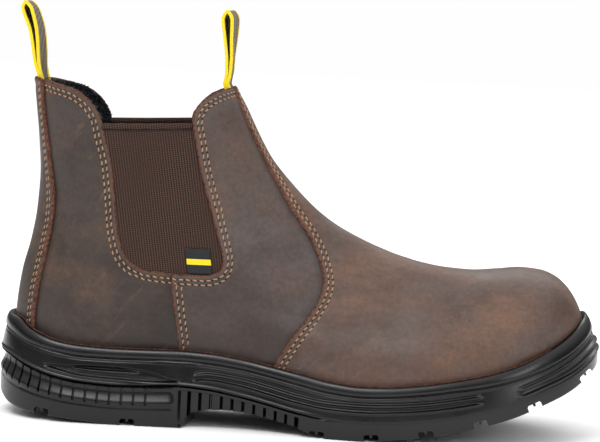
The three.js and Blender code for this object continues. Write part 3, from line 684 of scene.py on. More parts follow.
def spaced(loop, spacing=0.9):
    """A closed loop of (row, u) pairs with even steps in millimetres."""
    closed = np.vstack([loop, loop[:1]])
    place = form_point(closed[:, 0], closed[:, 1])
    step = np.linalg.norm(np.diff(place, axis=0), axis=1)
    keep = np.concatenate([[True], step > 1e-3])
    closed, place = closed[keep], place[keep]
    run = run_along(place)
    return at_runs(np.linspace(0, run[-1], int(run[-1] / spacing) + 1)[:-1], run, closed)


def outline(side, *curves):
    """Side-view curves joined on one side of the form, as an evenly spaced loop."""
    return spaced(np.vstack([on_form(c, side)[1:] for c in curves]))


# Materials

def place_node(tree, kind, inputs=None, **settings):
    """Adds a shader node. Inputs may be values or other nodes' sockets."""
    node = tree.nodes.new(kind)
    for key, value in settings.items():
        setattr(node, key, value)
    for key, value in (inputs or {}).items():
        if isinstance(value, bpy.types.NodeSocket):
            tree.links.new(value, node.inputs[key])
        else:
            node.inputs[key].default_value = value
    return node


def own_place(tree):
    """The point's place in the piece's own metres."""
    return tree.nodes.new("ShaderNodeTexCoord").outputs["Object"]


def colour(code, alpha=1.0):
    """A hex colour as linear values."""
    parts = [int(code[i:i + 2], 16) / 255 for i in (1, 3, 5)]
    return [c / 12.92 if c <= 0.04045 else ((c + 0.055) / 1.055) ** 2.4 for c in parts] + [alpha]


def new_group(name, inputs, outputs):
    """A node group with named sockets, and its input and output nodes."""
    tree = bpy.data.node_groups.new(name, "ShaderNodeTree")
    for label, kind, value in inputs:
        socket = tree.interface.new_socket(label, in_out="INPUT", socket_type=kind)
        if value is not None:
            socket.default_value = value
    for label, kind in outputs:
        tree.interface.new_socket(label, in_out="OUTPUT", socket_type=kind)
    return tree, tree.nodes.new("NodeGroupInput").outputs, tree.nodes.new("NodeGroupOutput").inputs


FLOAT, COLOUR, VECTOR = "NodeSocketFloat", "NodeSocketColor", "NodeSocketVector"


# A mix node has a set of sockets for each kind of value: these are the factor and the two colours
MIX_FACTOR, MIX_A, MIX_B, MIX_RESULT = 0, 6, 7, 2


def mix(tree, factor, a, b, blend="MIX"):
    """Two colours mixed by a factor."""
    inputs = {MIX_FACTOR: factor, MIX_A: a, MIX_B: b}
    return place_node(tree, "ShaderNodeMix", inputs, data_type="RGBA", blend_type=blend).outputs[MIX_RESULT]


def math_node(tree, operation, a, b=0.0):
    return place_node(tree, "ShaderNodeMath", {0: a, 1: b}, operation=operation).outputs[0]


def product(tree, a, b):
    return math_node(tree, "MULTIPLY", a, b)


def spread(tree, value, low, high, to_low=0.0, to_high=1.0):
    """A value's range mapped smoothly to another."""
    node = place_node(tree, "ShaderNodeMapRange", {
        "Value": value, "From Min": low, "From Max": high, "To Min": to_low, "To Max": to_high,
    }, interpolation_type="SMOOTHSTEP")
    return node.outputs[0]


def noise(tree, vector, scale, detail=4.0, rough=0.55, stretch_by=None, turn=(0, 0, 0)):
    """Noise in metres, its grain drawn out by a stretch."""
    if stretch_by is not None:
        vector = place_node(tree, "ShaderNodeMapping", {
            "Vector": vector, "Scale": [1 / share for share in stretch_by], "Rotation": turn,
        }, vector_type="TEXTURE").outputs[0]
    return place_node(tree, "ShaderNodeTexNoise", {
        "Vector": vector, "Scale": scale, "Detail": detail, "Roughness": rough}).outputs[0]


def bump(tree, height, distance, strength=1.0, normal=None):
    inputs = {"Height": height, "Distance": distance, "Strength": strength}
    if normal is not None:
        inputs["Normal"] = normal
    return place_node(tree, "ShaderNodeBump", inputs).outputs[0]


# Scratches: noise scale, lean in the side view, and the range of noise that shows
SCRATCHES = ((95, 0.75, 0.62, 0.72), (120, 1.35, 0.64, 0.74), (300, 0.6, 0.6, 0.7))
SCRATCH_DRAWN_OUT = (1.0, 1.0, 0.12)


def hide_group():
    """Oiled hide: blotches, rubbed light patches, fine scratches and grain."""
    tree, given, out = new_group("oiled_hide", [
        ("Dark", COLOUR, colour("#352a26")), ("Middle", COLOUR, colour("#54433b")),
        ("Light", COLOUR, colour("#7a6250")), ("Ash", COLOUR, colour("#524a47")),
        ("Rub", FLOAT, 0.5), ("Scuff", FLOAT, 0.5),
    ], [("Color", COLOUR), ("Roughness", FLOAT), ("Normal", VECTOR)])
    at = own_place(tree)
    broad = noise(tree, at, 16, 3, 0.5)
    cloudy = noise(tree, at, 45, 5, 0.6, (0.8, 1, 1.5))
    fine = noise(tree, at, 420, 6, 0.7)
    blotch = math_node(tree, "ADD", product(tree, broad, 0.5), product(tree, cloudy, 0.5))
    tone = mix(tree, spread(tree, blotch, 0.4, 0.58), given["Dark"], given["Middle"])
    worn = noise(tree, at, 20, 8, 0.62, (0.8, 1, 1.5), (0, 0.5, 0))
    rubbed = spread(tree, worn, 0.46, 0.7)
    tone = mix(tree, product(tree, rubbed, given["Rub"]), tone, given["Light"])
    ash = spread(tree, noise(tree, at, 26, 4, 0.55, (0.7, 1, 1.3), (0, -0.6, 0)), 0.48, 0.66, 0.0, 0.6)
    tone = mix(tree, ash, tone, given["Ash"])
    scuffs = 0.0
    for scale, lean, low, high in SCRATCHES:
        stroke = noise(tree, at, scale, 5, 0.6, SCRATCH_DRAWN_OUT, (0, lean, 0))
        scuffs = math_node(tree, "MAXIMUM", spread(tree, stroke, low, high), scuffs)
    patch = spread(tree, noise(tree, at, 22, 2, 0.5), 0.45, 0.62)
    scuffs = product(tree, product(tree, scuffs, patch), given["Scuff"])
    tone = mix(tree, scuffs, tone, given["Light"])
    speck = spread(tree, fine, 0.32, 0.7, 0.8, 1.16)
    grey = place_node(tree, "ShaderNodeCombineColor", {"Red": speck, "Green": speck, "Blue": speck}).outputs[0]
    tree.links.new(mix(tree, 1.0, tone, grey, "MULTIPLY"), out["Color"])
    tree.links.new(spread(tree, worn, 0.35, 0.65, 0.44, 0.68), out["Roughness"])
    pores = place_node(tree, "ShaderNodeTexVoronoi", {"Vector": at, "Scale": 900.0}).outputs["Distance"]
    grain = math_node(tree, "ADD", product(tree, fine, 0.7), product(tree, pores, 0.35))
    grain_normal = bump(tree, grain, 0.00012, 0.55)
    tree.links.new(bump(tree, cloudy, 0.0012, 0.3, grain_normal), out["Normal"])
    return tree


def weave_group():
    """Ribs across a mapped vector, with small steps along them. The second output paints shade in the hollows and
    highlight on the crowns from the height.
    """
    tree, given, out = new_group("twill", [
        ("Vector", VECTOR, None), ("Pitch", FLOAT, 1.2), ("Step", FLOAT, 0.9),
    ], [("Height", FLOAT), ("Painted_Shading", FLOAT)])
    parts = place_node(tree, "ShaderNodeSeparateXYZ", {"Vector": given["Vector"]}).outputs
    across = math_node(tree, "DIVIDE", parts[0], given["Pitch"])
    along = math_node(tree, "DIVIDE", parts[2], given["Step"])
    rib = math_node(tree, "SINE", product(tree, across, 2 * math.pi))
    tip = math_node(tree, "PINGPONG", product(tree, across, 2.0), 1.0)
    staggered = math_node(tree, "ADD", along, product(tree, tip, 0.5))
    knot = math_node(tree, "SINE", product(tree, staggered, 2 * math.pi))
    both = math_node(tree, "ADD", product(tree, rib, 0.25), product(tree, knot, 0.25))
    both = math_node(tree, "ADD", both, 0.5)
    tree.links.new(both, out["Height"])
    # Painted shade and highlight, from the weave's height
    tree.links.new(math_node(tree, "POWER", both, 1.3), out["Painted_Shading"])
    return tree


HIDE = hide_group()
TWILL = weave_group()


def new_material(name, **fixed):
    """A material with its Principled shader, whose constant values go straight on the sockets."""
    material = bpy.data.materials.new(name)
    material.use_nodes = True
    tree = material.node_tree
    shader = next(n for n in tree.nodes if n.type == "BSDF_PRINCIPLED")
    for key, value in fixed.items():
        shader.inputs[key.replace("_", " ")].default_value = value
    return material, tree, shader


def wire(tree, shader, **sources):
    """Links values that vary over the surface to the shader's sockets."""
    for key, source in sources.items():
        tree.links.new(source, shader.inputs[key.replace("_", " ")])


def group_node(tree, group, inputs):
    return place_node(tree, "ShaderNodeGroup", inputs, node_tree=group).outputs


def attribute(tree, name):
    return place_node(tree, "ShaderNodeAttribute", attribute_name=name).outputs["Fac"]


# The seam tint is the hide's own browner colour at its seams; the other two are painted shadow beside a covering edge
# and painted shade low down
SEAM_TINT, COVER_PAINTED_SHADOW, LOW_PAINTED_SHADE = colour("#5c463c"), colour("#1c1513"), colour("#2a1c16")
# Distances in millimetres from a seam and a covering edge, and heights in metres, over which the seam tint, the
# painted shadow and the painted shade fade
SEAM_FADE, COVER_SHADOW_FADE, LOW_SHADE_FADE = (0.3, 2.4), (0.5, 5.5), (0.032, 0.085)
TINT = 0.6


def leather(name, dark, middle, light, ash, rub, scuff, sheen, low_painted_shade):
    """Oiled nubuck, browner along its seams, with painted shadow beside what covers it and painted shade low down by
    the sole.
    """
    material, tree, shader = new_material(
        name, Sheen_Weight=sheen, Sheen_Roughness=0.4, Specular_IOR_Level=0.42, Sheen_Tint=colour("#c9cbd6"))
    hide = group_node(tree, HIDE, {
        "Dark": colour(dark), "Middle": colour(middle), "Light": colour(light), "Ash": colour(ash),
        "Rub": rub, "Scuff": scuff})
    tone = mix(tree, spread(tree, attribute(tree, "seam"), *SEAM_FADE, TINT, 0.0), hide["Color"], SEAM_TINT)
    # Painted shadow beside the edge of the panel that covers this one
    tone = mix(tree, spread(tree, attribute(tree, "cover"), *COVER_SHADOW_FADE, TINT, 0.0), tone, COVER_PAINTED_SHADOW)
    height = place_node(tree, "ShaderNodeSeparateXYZ", {"Vector": own_place(tree)}).outputs[2]
    # Painted shade, darker low down by the sole
    tone = mix(tree, spread(tree, height, *LOW_SHADE_FADE, low_painted_shade, 0.0), tone, LOW_PAINTED_SHADE)
    wire(tree, shader, Base_Color=tone, Roughness=hide["Roughness"], Normal=hide["Normal"])
    return material


def raw_edge():
    """The cut edge of the hide: fibrous and rust-brown."""
    material, tree, shader = new_material("raw_edge", Roughness=0.9, Specular_IOR_Level=0.2)
    fibre = noise(tree, own_place(tree), 700, 5, 0.75)
    tone = mix(tree, spread(tree, fibre, 0.35, 0.65), colour("#33221a"), colour("#70493a"))
    wire(tree, shader, Base_Color=tone, Normal=bump(tree, fibre, 0.0003, 0.8))
    return material


def rubber():
    """Moulded black rubber with a fine satin grain."""
    material, tree, shader = new_material("moulded_rubber", Specular_IOR_Level=0.4)
    at = own_place(tree)
    broad = noise(tree, at, 25, 4, 0.6)
    fine = noise(tree, at, 1500, 3, 0.6)
    wire(tree, shader,
         Base_Color=mix(tree, spread(tree, broad, 0.4, 0.75), colour("#060608"), colour("#151517")),
         Roughness=spread(tree, broad, 0.3, 0.7, 0.2, 0.33),
         Normal=bump(tree, fine, 0.00006, 0.5))
    return material


def woven(tree, pitch, step, turn=0.0):
    """The weave over the side view, with its pitch and step in millimetres."""
    mapped = place_node(tree, "ShaderNodeMapping", {
        "Vector": own_place(tree), "Scale": (1000, 1000, 1000), "Rotation": (0, turn, 0)}).outputs[0]
    return group_node(tree, TWILL, {"Vector": mapped, "Pitch": pitch, "Step": step})


def elastic():
    """Knitted elastic with upright ribs, near black between them as painted shade."""
    material, tree, shader = new_material("knit_elastic", Roughness=0.95, Specular_IOR_Level=0.12)
    knit = woven(tree, 1.3, 1.05, 0.16)
    cloudy = noise(tree, own_place(tree), 35, 3, 0.5)
    tone = mix(tree, knit["Painted_Shading"], colour("#0c0706"), colour("#5e4a41"))
    tone = mix(tree, spread(tree, cloudy, 0.3, 0.7, 0.0, 0.35), tone, colour("#3b2b25"))
    wire(tree, shader, Base_Color=tone, Normal=bump(tree, knit["Height"], 0.0003, 0.9))
    return material


def cloth(name, dark, light, pitch, rough=0.9):
    """Woven webbing, thread or tag cloth, painted darker in the weave's hollows and lighter on its crowns."""
    material, tree, shader = new_material(name, Roughness=rough)
    knit = woven(tree, pitch, pitch * 0.8)
    wire(tree, shader, Base_Color=mix(tree, knit["Painted_Shading"], colour(dark), colour(light)),
         Normal=bump(tree, knit["Height"], 0.0002, 0.6))
    return material


def pile():
    """Deep black pile of the lining, with grey flecks painted as glints on the fibres."""
    material, tree, shader = new_material(
        "black_pile", Roughness=1.0, Sheen_Weight=0.35, Sheen_Roughness=0.4, Sheen_Tint=colour("#aab4c0"))
    tuft = noise(tree, own_place(tree), 420, 6, 0.75)
    # Grey flecks as painted glints
    tone = mix(tree, spread(tree, tuft, 0.45, 0.75), colour("#0a0b0c"), colour("#4d5056"))
    wire(tree, shader, Base_Color=tone, Normal=bump(tree, tuft, 0.0015, 0.9))
    return material


# The last number of each hide sets how strongly it is darkened low down as painted shade
VAMP_HIDE = leather("vamp_hide", dark="#432f25", middle="#5c4336", light="#7a5a45", ash="#51443f",
                    rub=0.45, scuff=0.4, sheen=0.04, low_painted_shade=0.15)
FRONT_HIDE = leather("front_quarter_hide", dark="#3c312d", middle="#4a3e39", light="#664a3c", ash="#4e4442",
                     rub=0.35, scuff=0.15, sheen=0.1, low_painted_shade=0.5)
REAR_HIDE = leather("rear_quarter_hide", dark="#1e1714", middle="#382c26", light="#5e4738", ash="#3b322f",
                    rub=0.55, scuff=0.7, sheen=0.04, low_painted_shade=0.2)
RAW_EDGE = raw_edge()
RUBBER = rubber()
ELASTIC = elastic()
PILE = pile()
INSOLE_CLOTH = cloth("insole_cloth", "#101113", "#34363b", 1.6)
RIBBON_FACE = cloth("ribbon_face", "#4a413a", "#8a7c70", 0.9)
RIBBON_RIM = cloth("ribbon_rim", "#d9b800", "#ffe61a", 0.8, 0.7)
TAG_CLOTH = cloth("tag_cloth", "#0f1011", "#2b2d30", 0.7)
THREAD = cloth("thread", "#74553f", "#cda37c", 0.5, 0.65)
# Near black, as painted shade in the needle holes and in the groove under the elastic's hem
PAINTED_SHADE_CLOTH = cloth("needle_hole", "#0d0806", "#18100c", 0.5)


# Soft shapes of the leather

def soft_relief(row, u, base, seam):
    """Swells between seams, the groove that the stitch rows draw in, and faint unevenness."""
    x, z = base[:, 0], base[:, 2]
    lift = -0.3 * bell((seam - 4.3) / 2.0) * (seam < 25)
    lift += 0.16 * bell((seam - 1.6) / 1.1)
    lift += 0.22 * np.sin(x / 17.0 + z / 31.0) * np.sin(z / 13.0 - u * 3.0 + 1.3)
    return lift * np.clip((z - line("lip", x)) / 6, 0, 1)


# Flex creases: x at 60 mm up, lean, depth and width
VAMP_CREASES = ((38, 0.32, 0.16, 5.0), (52, 0.22, 0.2, 5.5), (64, 0.1, 0.14, 4.5))
# Folds at the ankle: x and z of the middle, turn, depth and width
ANKLE_FOLDS = ((-122, 118, 0.55, 0.45, 5), (-118, 96, 0.5, 0.35, 4), (-20, 84, -0.9, 0.5, 7))
FOLD_LONG = 22


def vamp_relief(row, u, base, seam):
    """Flex creases behind the toe cap."""
    x, z = base[:, 0], base[:, 2]
    lift = soft_relief(row, u, base, seam)
    height = np.clip((z - line("lip", x)) / 40, 0, 1)
    for at, lean, deep, wide in VAMP_CREASES:
        lift -= deep * bell((x - at - lean * (z - 60)) / wide) * ease(height * 1.4) * (0.6 + 0.4 * np.cos(u * 9))
    return lift


def quarter_relief(row, u, base, seam):
    """Faint folds at the ankle."""
    x, z = base[:, 0], base[:, 2]
    lift = soft_relief(row, u, base, seam)
    for at_x, at_z, turn, deep, wide in ANKLE_FOLDS:
        run = (x - at_x) * math.cos(turn) + (z - at_z) * math.sin(turn)
        over = -(x - at_x) * math.sin(turn) + (z - at_z) * math.cos(turn)
        lift -= deep * bell(over / wide) * bell(run / FOLD_LONG)
    return lift


def seam_points(*curves):
    """Points of the form along side-view curves on both sides."""
    found = []
    for curve in curves:
        row, u = locate(curve)
        found += [form_point(row, u), form_point(row, -u)]
    return np.vstack(found)


# How far a panel runs on under its neighbour, and how wide its cut edge is rounded
TUCK = 0.8
OVER_BEVEL, UNDER_BEVEL = 2.4, 1.7
FRONT_THICK = LEATHER_THICK - VAMP_STEP + 0.4
REAR_THICK = LEATHER_THICK + REAR_OUT + 0.8


def hide_panel(name, loop, out, thick, hide, **finish):
    return panel(name, loop, out, thick, [hide, RAW_EDGE], "upper_leather", "upper", **finish)


def make_vamp():
    """Vamp and tongue in one: it wraps over the foot from seam to seam."""
    start = meet(VAMP_CURVE, BOTTOM)[0]
    top, along_top = meet(VAMP_CURVE, FRONT_TOP)
    flank = stretch(VAMP_CURVE, start, top)
    rim = stretch(FRONT_TOP, along_top, top_line_place(FRONT_TOP))
    welt = stretch(BOTTOM, top_line_place(BOTTOM), meet(BOTTOM, VAMP_CURVE)[0])
    lateral = np.vstack([on_form(c, -1) for c in (welt, flank[1:], rim[1:])])
    hide_panel("vamp", spaced(both_sides(lateral, 0)), 0, LEATHER_THICK, VAMP_HIDE, spacing=1.35,
               relief=vamp_relief, seams=seam_points(flank, rim), bevel=OVER_BEVEL)


def make_front_quarter(side, label):
    """Front quarter, from the side seam to the vamp, beside the elastic."""
    under = draw_in(VAMP_CURVE, TUCK)
    seam_gore, gore_seam = meet(SEAM_CURVE, GORE_CURVE)
    seam_floor, floor_seam = meet(SEAM_CURVE, BOTTOM)
    gore_top, top_gore = meet(GORE_CURVE[GORE_HALF:], FRONT_TOP)
    top_vamp, vamp_top = meet(FRONT_TOP, under)
    vamp_floor, floor_vamp = meet(under, BOTTOM)
    seam = stretch(SEAM_CURVE, seam_floor, seam_gore)
    gore = stretch(GORE_CURVE, gore_seam, gore_top + GORE_HALF)
    rim = stretch(FRONT_TOP, top_gore, top_vamp)
    flank = stretch(under, vamp_top, vamp_floor)
    floor = stretch(BOTTOM, floor_vamp, floor_seam)
    loop = outline(side, seam, gore, rim, flank, floor)
    hide_panel(f"front_quarter_{label}", loop, FRONT_OUT, FRONT_THICK, FRONT_HIDE, relief=quarter_relief,
               seams=seam_points(seam, gore, rim), cover=seam_points(flank), bevel=UNDER_BEVEL)


def make_rear_quarter(side, label):
    """Rear quarter, from the back strap to the side seam, beside the elastic."""
    under_seam = draw_in(SEAM_CURVE, TUCK)
    under_strap = draw_in(STRAP_CURVE, -TUCK)
    seam_gore, gore_seam = meet(under_seam, GORE_CURVE)
    seam_floor, floor_seam = meet(under_seam, BOTTOM)
    gore_top, top_gore = meet(GORE_CURVE[:GORE_HALF], REAR_TOP)
    top_strap, strap_top = meet(REAR_TOP, under_strap)
    strap_floor, floor_strap = meet(under_strap, BOTTOM)
    seam = stretch(under_seam, seam_floor, seam_gore)
    gore = stretch(GORE_CURVE, gore_seam, gore_top)
    rim = stretch(REAR_TOP, top_gore, top_strap)
    flank = stretch(under_strap, strap_top, strap_floor)
    floor = stretch(BOTTOM, floor_strap, floor_seam)
    loop = outline(side, seam, gore, rim, flank, floor)
    hide_panel(f"rear_quarter_{label}", loop, REAR_OUT, REAR_THICK, REAR_HIDE, relief=quarter_relief,
               seams=seam_points(gore, rim), cover=seam_points(seam, flank), bevel=UNDER_BEVEL)


def round_back(points):
    """(row, u) pairs with u carried on past 1, so that the back of the heel is one stretch."""
    return np.stack([points[:, 0], np.where(points[:, 1] < 0, points[:, 1] + 2, points[:, 1])], -1)


def make_back_strap():
    """Back strap over the heel seam."""
    strap_top, top_strap = meet(STRAP_CURVE, REAR_TOP)
    strap_floor, floor_strap = meet(STRAP_CURVE, BOTTOM)
    floor = stretch(BOTTOM, back_line_place(BOTTOM), floor_strap)
    flank = stretch(STRAP_CURVE, strap_floor, strap_top)
    rim = stretch(REAR_TOP, top_strap, back_line_place(REAR_TOP))
    lateral = np.vstack([on_form(c, -1) for c in (floor, flank[1:], rim[1:])])
    loop = spaced(round_back(both_sides(lateral, -1)))
    hide_panel("back_strap", loop, 0, LEATHER_THICK, REAR_HIDE, spacing=1.2, relief=soft_relief,
               seams=seam_points(flank, rim), bevel=OVER_BEVEL)


make_vamp()
for side, label in SIDES:
    make_front_quarter(side, label)
    make_rear_quarter(side, label)
make_back_strap()


# Elastic gores and the lining

GORE_UNDERLAP = 2.6
# The elastic is cut off just over its top line before that line trims it
GORE_TRIM = 0.895


def make_gore(side, label):
    """Elastic panel whose edges run under the quarters."""
    under = draw_in(GORE_CURVE, -GORE_UNDERLAP)
    under = under[(under[:, 1] < GORE_TRIM * COLLAR_HEIGHT)]
    half_way = len(under) // 2
    rear, top_rear = meet(under[:half_way], ELASTIC_TOP)
    front, top_front = meet(under[half_way:], ELASTIC_TOP)
    edge = stretch(under, rear, front + half_way)
    top = stretch(ELASTIC_TOP, top_front, top_rear)
    loop = outline(side, edge, top)
    panel(f"gore_{label}", loop, GORE_OUT, GORE_THICK, [ELASTIC, ELASTIC], "elastic", f"gore_{label}",
          spacing=1.0, relief=gore_relief, rough=0.02)


def gore_relief(row, u, base, seam):
    """The elastic draws in a little between its edges and waves faintly."""
    x, z = base[:, 0], base[:, 2]
    return 0.18 * np.sin(x / 4.1 + z / 19.0) * np.sin(z / 11.0) - 0.15


HEM_TALL, HEM_THICK = 2.9, 2.6
HEM_SINK, HEM_LIFT = 0.35, 0.25
HEM_SQUARE = 0.7
HEM_SEAM_RADIUS, HEM_SEAM_PROUD = 0.3, 0.15
ELASTIC_RIM = resample(
    stretch(ELASTIC_TOP, meet(ELASTIC_TOP, REAR_TOP)[0], meet(ELASTIC_TOP, FRONT_TOP)[0]), 0.9)


def squared(value):
    """A sine or cosine that makes a rounded oblong of a circle."""
    return math.copysign(abs(value) ** HEM_SQUARE, value)


def along_rim(name, side, label, around, section, material):
    """A tube along the elastic's top line. Its section gives (up, out) for each turn."""
    rows = []
    for turn in np.linspace(0, 2 * math.pi, around, endpoint=False):
        up, off = section(turn)
        row, u = locate(ELASTIC_RIM + [0, up])
        rows.append(skin(row, u * side, np.full(len(row), GORE_OUT + off)))
    tube(name, np.stack(rows, 1), material, "elastic", f"gore_{label}")


def make_hem(side, label):
    """Rolled hem along the top of the elastic."""
    along_rim(f"gore_{label}_hem", side, label, 18, lambda turn: (
        -HEM_TALL / 2 + HEM_TALL / 2 * squared(math.sin(turn)) + HEM_LIFT,
        -HEM_SINK + HEM_THICK / 2 * squared(math.cos(turn))), ELASTIC)


def make_hem_seam(side, label):
    """Line of sewing just under the hem, near black as painted shade of the groove there."""
    along_rim(f"gore_{label}_hem_seam", side, label, 8, lambda turn: (
        HEM_SEAM_RADIUS * math.sin(turn) - HEM_TALL,
        HEM_SEAM_PROUD + HEM_SEAM_RADIUS * math.cos(turn)), PAINTED_SHADE_CLOTH)


def tube(name, loops, material, slot, node):
    """A closed tube through loops of points, with its ends filled."""
    faces = closed_faces(*loops.shape[:2])
    outward_faces(mesh_object(name, loops.reshape(-1, 3), faces, material, slot, node))


def lining_floor():
    """The lining's lower edge, raised at the toe so that it meets the top line there."""
    x = np.linspace(-HALF, HALF, 600)
    return np.stack([x, line("floor", x) + 3.8 + 45 * ease((share_of(x) - 0.93) / 0.045)], -1)


LINING_FLOOR = lining_floor()
LINING_GORE = draw_in(GORE_CURVE, -1.2)
LINING_SEAM = np.vstack([SEAM_CURVE, SEAM_CURVE[-1] + [[2, -20]]])
REAR_LINING_OUT, FRONT_LINING_OUT = -3.0, -2.6
LINING_THICK = 1.0
LINING_DROP = 0.9


def lining_noise(row, u, base, seam):
    """Lumps of the pile."""
    x, y, z = base.T
    lump = np.sin(x * 1.9 + 2 * np.sin(z * 0.7)) * np.sin(z * 2.1 + 2 * np.sin(y * 0.8)) * 0.22
    return lump + 0.25 * np.sin(x * 0.63 + y * 0.4) * np.sin(z * 0.71)


def lining_curves(rim_curve, rim_gore, gore_top, line_place):
    """The lining's outline from a middle line along the floor, up the side seam, and round the elastic back."""
    seam_gore, gore_seam = meet(LINING_SEAM, LINING_GORE)
    seam_floor, floor_seam = meet(LINING_SEAM, LINING_FLOOR)
    return (
        stretch(LINING_FLOOR, line_place(LINING_FLOOR), floor_seam),
        stretch(LINING_SEAM, seam_floor, seam_gore)[1:],
        stretch(LINING_GORE, gore_seam, gore_top)[1:],
        stretch(rim_curve, rim_gore, line_place(rim_curve))[1:],
    )


def lining_panel(name, loop, out, spacing, rough):
    return panel(name, spaced(loop), out, LINING_THICK, [PILE, PILE], "lining", "upper",
                 spacing=spacing, rough=rough, inner_relief=lining_noise)


def make_rear_lining(side, label):
    """Half of the rear lining, from the back line to the side seam."""
    rim_curve = REAR_TOP - [0, LINING_DROP]
    gore_top, rim_gore = meet(LINING_GORE[:GORE_HALF], rim_curve)
    curves = lining_curves(rim_curve, rim_gore, gore_top, back_line_place)
    loop = np.vstack([on_form(c, side) for c in curves])
    loop[[0, -1], 1] = side
    lining_panel(f"rear_lining_{label}", loop, REAR_LINING_OUT, 1.7, 0.1)


def make_front_lining():
    """Front lining, over the foot from side seam to side seam."""
    rim_curve = FRONT_TOP - [0, LINING_DROP]
    gore_top, rim_gore = meet(LINING_GORE[GORE_HALF:], rim_curve)
    curves = lining_curves(rim_curve, rim_gore, gore_top + GORE_HALF, top_line_place)
    lateral = np.vstack([on_form(c, -1) for c in curves])
    lining_panel("front_lining", both_sides(lateral, 0), FRONT_LINING_OUT, 2.0, 0.3)


TUFTS = 5200
TUFT_BAND = 17
TUFT_LONG, TUFT_RADIUS = 2.0, 0.33


def make_tufts():
    """Tufts of pile that stand in along the rear collar, where the lining is seen."""
    random = np.random.default_rng(SEED)
    rim = stretch(REAR_TOP, back_line_place(REAR_TOP), meet(REAR_TOP, GORE_CURVE[:GORE_HALF])[0])
    pick = random.random(TUFTS) * (len(rim) - 1)
    x = np.interp(pick, np.arange(len(rim)), rim[:, 0])
    z = np.interp(pick, np.arange(len(rim)), rim[:, 1]) - LINING_DROP - 0.2 - TUFT_BAND * random.random(TUFTS) ** 1.3
    row, u = locate(np.stack([x, z], -1))
    u = u * np.where(random.random(TUFTS) < 0.5, -1, 1)
    root = skin(row, u, np.full(TUFTS, REAR_LINING_OUT - LINING_THICK + 0.2))
    inward = -normal_at(row, u)
    long = TUFT_LONG * (0.6 + 0.8 * random.random(TUFTS))[:, None]
    clump = np.stack([np.sin(root[:, 2] * 1.1 + root[:, 0]), np.sin(root[:, 0] * 1.3), np.cos(root[:, 2] * 0.9)], -1)
    tip = root + inward * long + clump * 0.5 + random.normal(0, 0.45, (TUFTS, 3))
    side = unit(np.cross(inward, random.normal(0, 1, (TUFTS, 3))))
    other = unit(np.cross(inward, side))
    middle = (root + tip) / 2 + random.normal(0, 0.2, (TUFTS, 3))
    points = []
    for place, radius in ((root, TUFT_RADIUS), (middle, TUFT_RADIUS * 0.8)):
        for turn in (0, 2 * math.pi / 3, 4 * math.pi / 3):
            points.append(place + (side * math.cos(turn) + other * math.sin(turn)) * radius)
    points.append(tip)
    points = np.stack(points, 1)
    shape = [(0, 2, 1), (0, 1, 4), (0, 4, 3), (1, 2, 5), (1, 5, 4), (2, 0, 3), (2, 3, 5),
             (3, 4, 6), (4, 5, 6), (5, 3, 6)]
    faces = (np.array(shape)[None] + np.arange(TUFTS)[:, None, None] * 7).reshape(-1, 3)
    mesh_object("pile_tufts", points.reshape(-1, 3), faces, PILE, "lining", "upper")


# Stitches

STITCH_PITCH = 3.5
STITCH_LONG = 2.5
THREAD_RADIUS = 0.39
THREAD_PROUD = 0.12
STITCH_TILT, STITCH_TILT_SPREAD = 12, 3.5
HOLE_RADIUS, HOLE_SKIRT, HOLE_DEEP = 0.46, 0.6, 0.3
# Rows along the raw edges and the side seam, as distances from the edge
EDGE_ROWS, SEAM_ROWS = (2.8, 5.1), (2.5, 5.0)
ROW_LAG = 0.8
# Numbers of curve steps by which the rows stop short, start late or run over
ROW_END, SEAM_ROW_START, REAR_ROW_OVERRUN = 8, 9, 4
# The elastic's foot, where the side seam meets it, lies under this height
ELASTIC_FOOT = 100


def capsule_template(around=7, along=6):
    """A thread's bump along X, flatter than it is wide."""
    turn = np.linspace(0, 2 * math.pi, around, endpoint=False)
    points = []
    for i in range(along + 1):
        t = -1 + 2 * i / along
        r = max(0.18, (1 - abs(t) ** 3.2) ** 0.5)
        sink = -0.32 * abs(t) ** 3
        for a in turn:
            points.append([t * STITCH_LONG / 2, THREAD_RADIUS * r * math.cos(a),
                           THREAD_RADIUS * 0.8 * r * math.sin(a) + sink])
    return np.array(points), closed_faces(along + 1, around)


def hole_template():
    """A needle hole as a shallow dish, its near-black colour painted shade."""
    points, faces = [[0, 0, 0.05]], []
    around = 8
    for radius, z in ((HOLE_RADIUS, 0.05), (HOLE_SKIRT, -HOLE_DEEP)):
        for i in range(around):
            a = 2 * math.pi * i / around
            points.append([radius * math.cos(a), radius * math.sin(a), z])
    points.append([0, 0, -HOLE_DEEP])
    for i in range(around):
        k = (i + 1) % around
        faces.append([0, 1 + i, 1 + k])
        faces.append([1 + i, 1 + around + i, 1 + around + k, 1 + k])
        faces.append([2 * around + 1, 1 + around + k, 1 + around + i])
    return np.array(points), faces


def seam_row(curve, side, distance, out, relief, start=0.0):
    """Places, directions and normals of stitches along a seam, a distance to the curve's left."""
    points = on_form(curve, side)
    place = form_point(points[:, 0], points[:, 1])
    along = unit(np.gradient(place, axis=0))
    across = unit(np.cross(normal_at(points[:, 0], points[:, 1]), along)) * -side
    row, u = shift(points[:, 0], points[:, 1], across, np.full(len(points), float(distance)))
    place = form_point(row, u)
    run = run_along(place)
    at = np.arange(start + STITCH_PITCH / 2, run[-1] - 0.5, STITCH_PITCH)
    row, u = np.interp(at, run, row), np.interp(at, run, u)
    base = form_point(row, u)
    normal = normal_at(row, u)
    lift = out + relief(row, u, base, np.full(len(row), abs(float(distance))))
    ahead = at_runs(at + 0.5, run, place) - at_runs(at - 0.5, run, place)
    return base + normal * lift[:, None], unit(ahead), normal


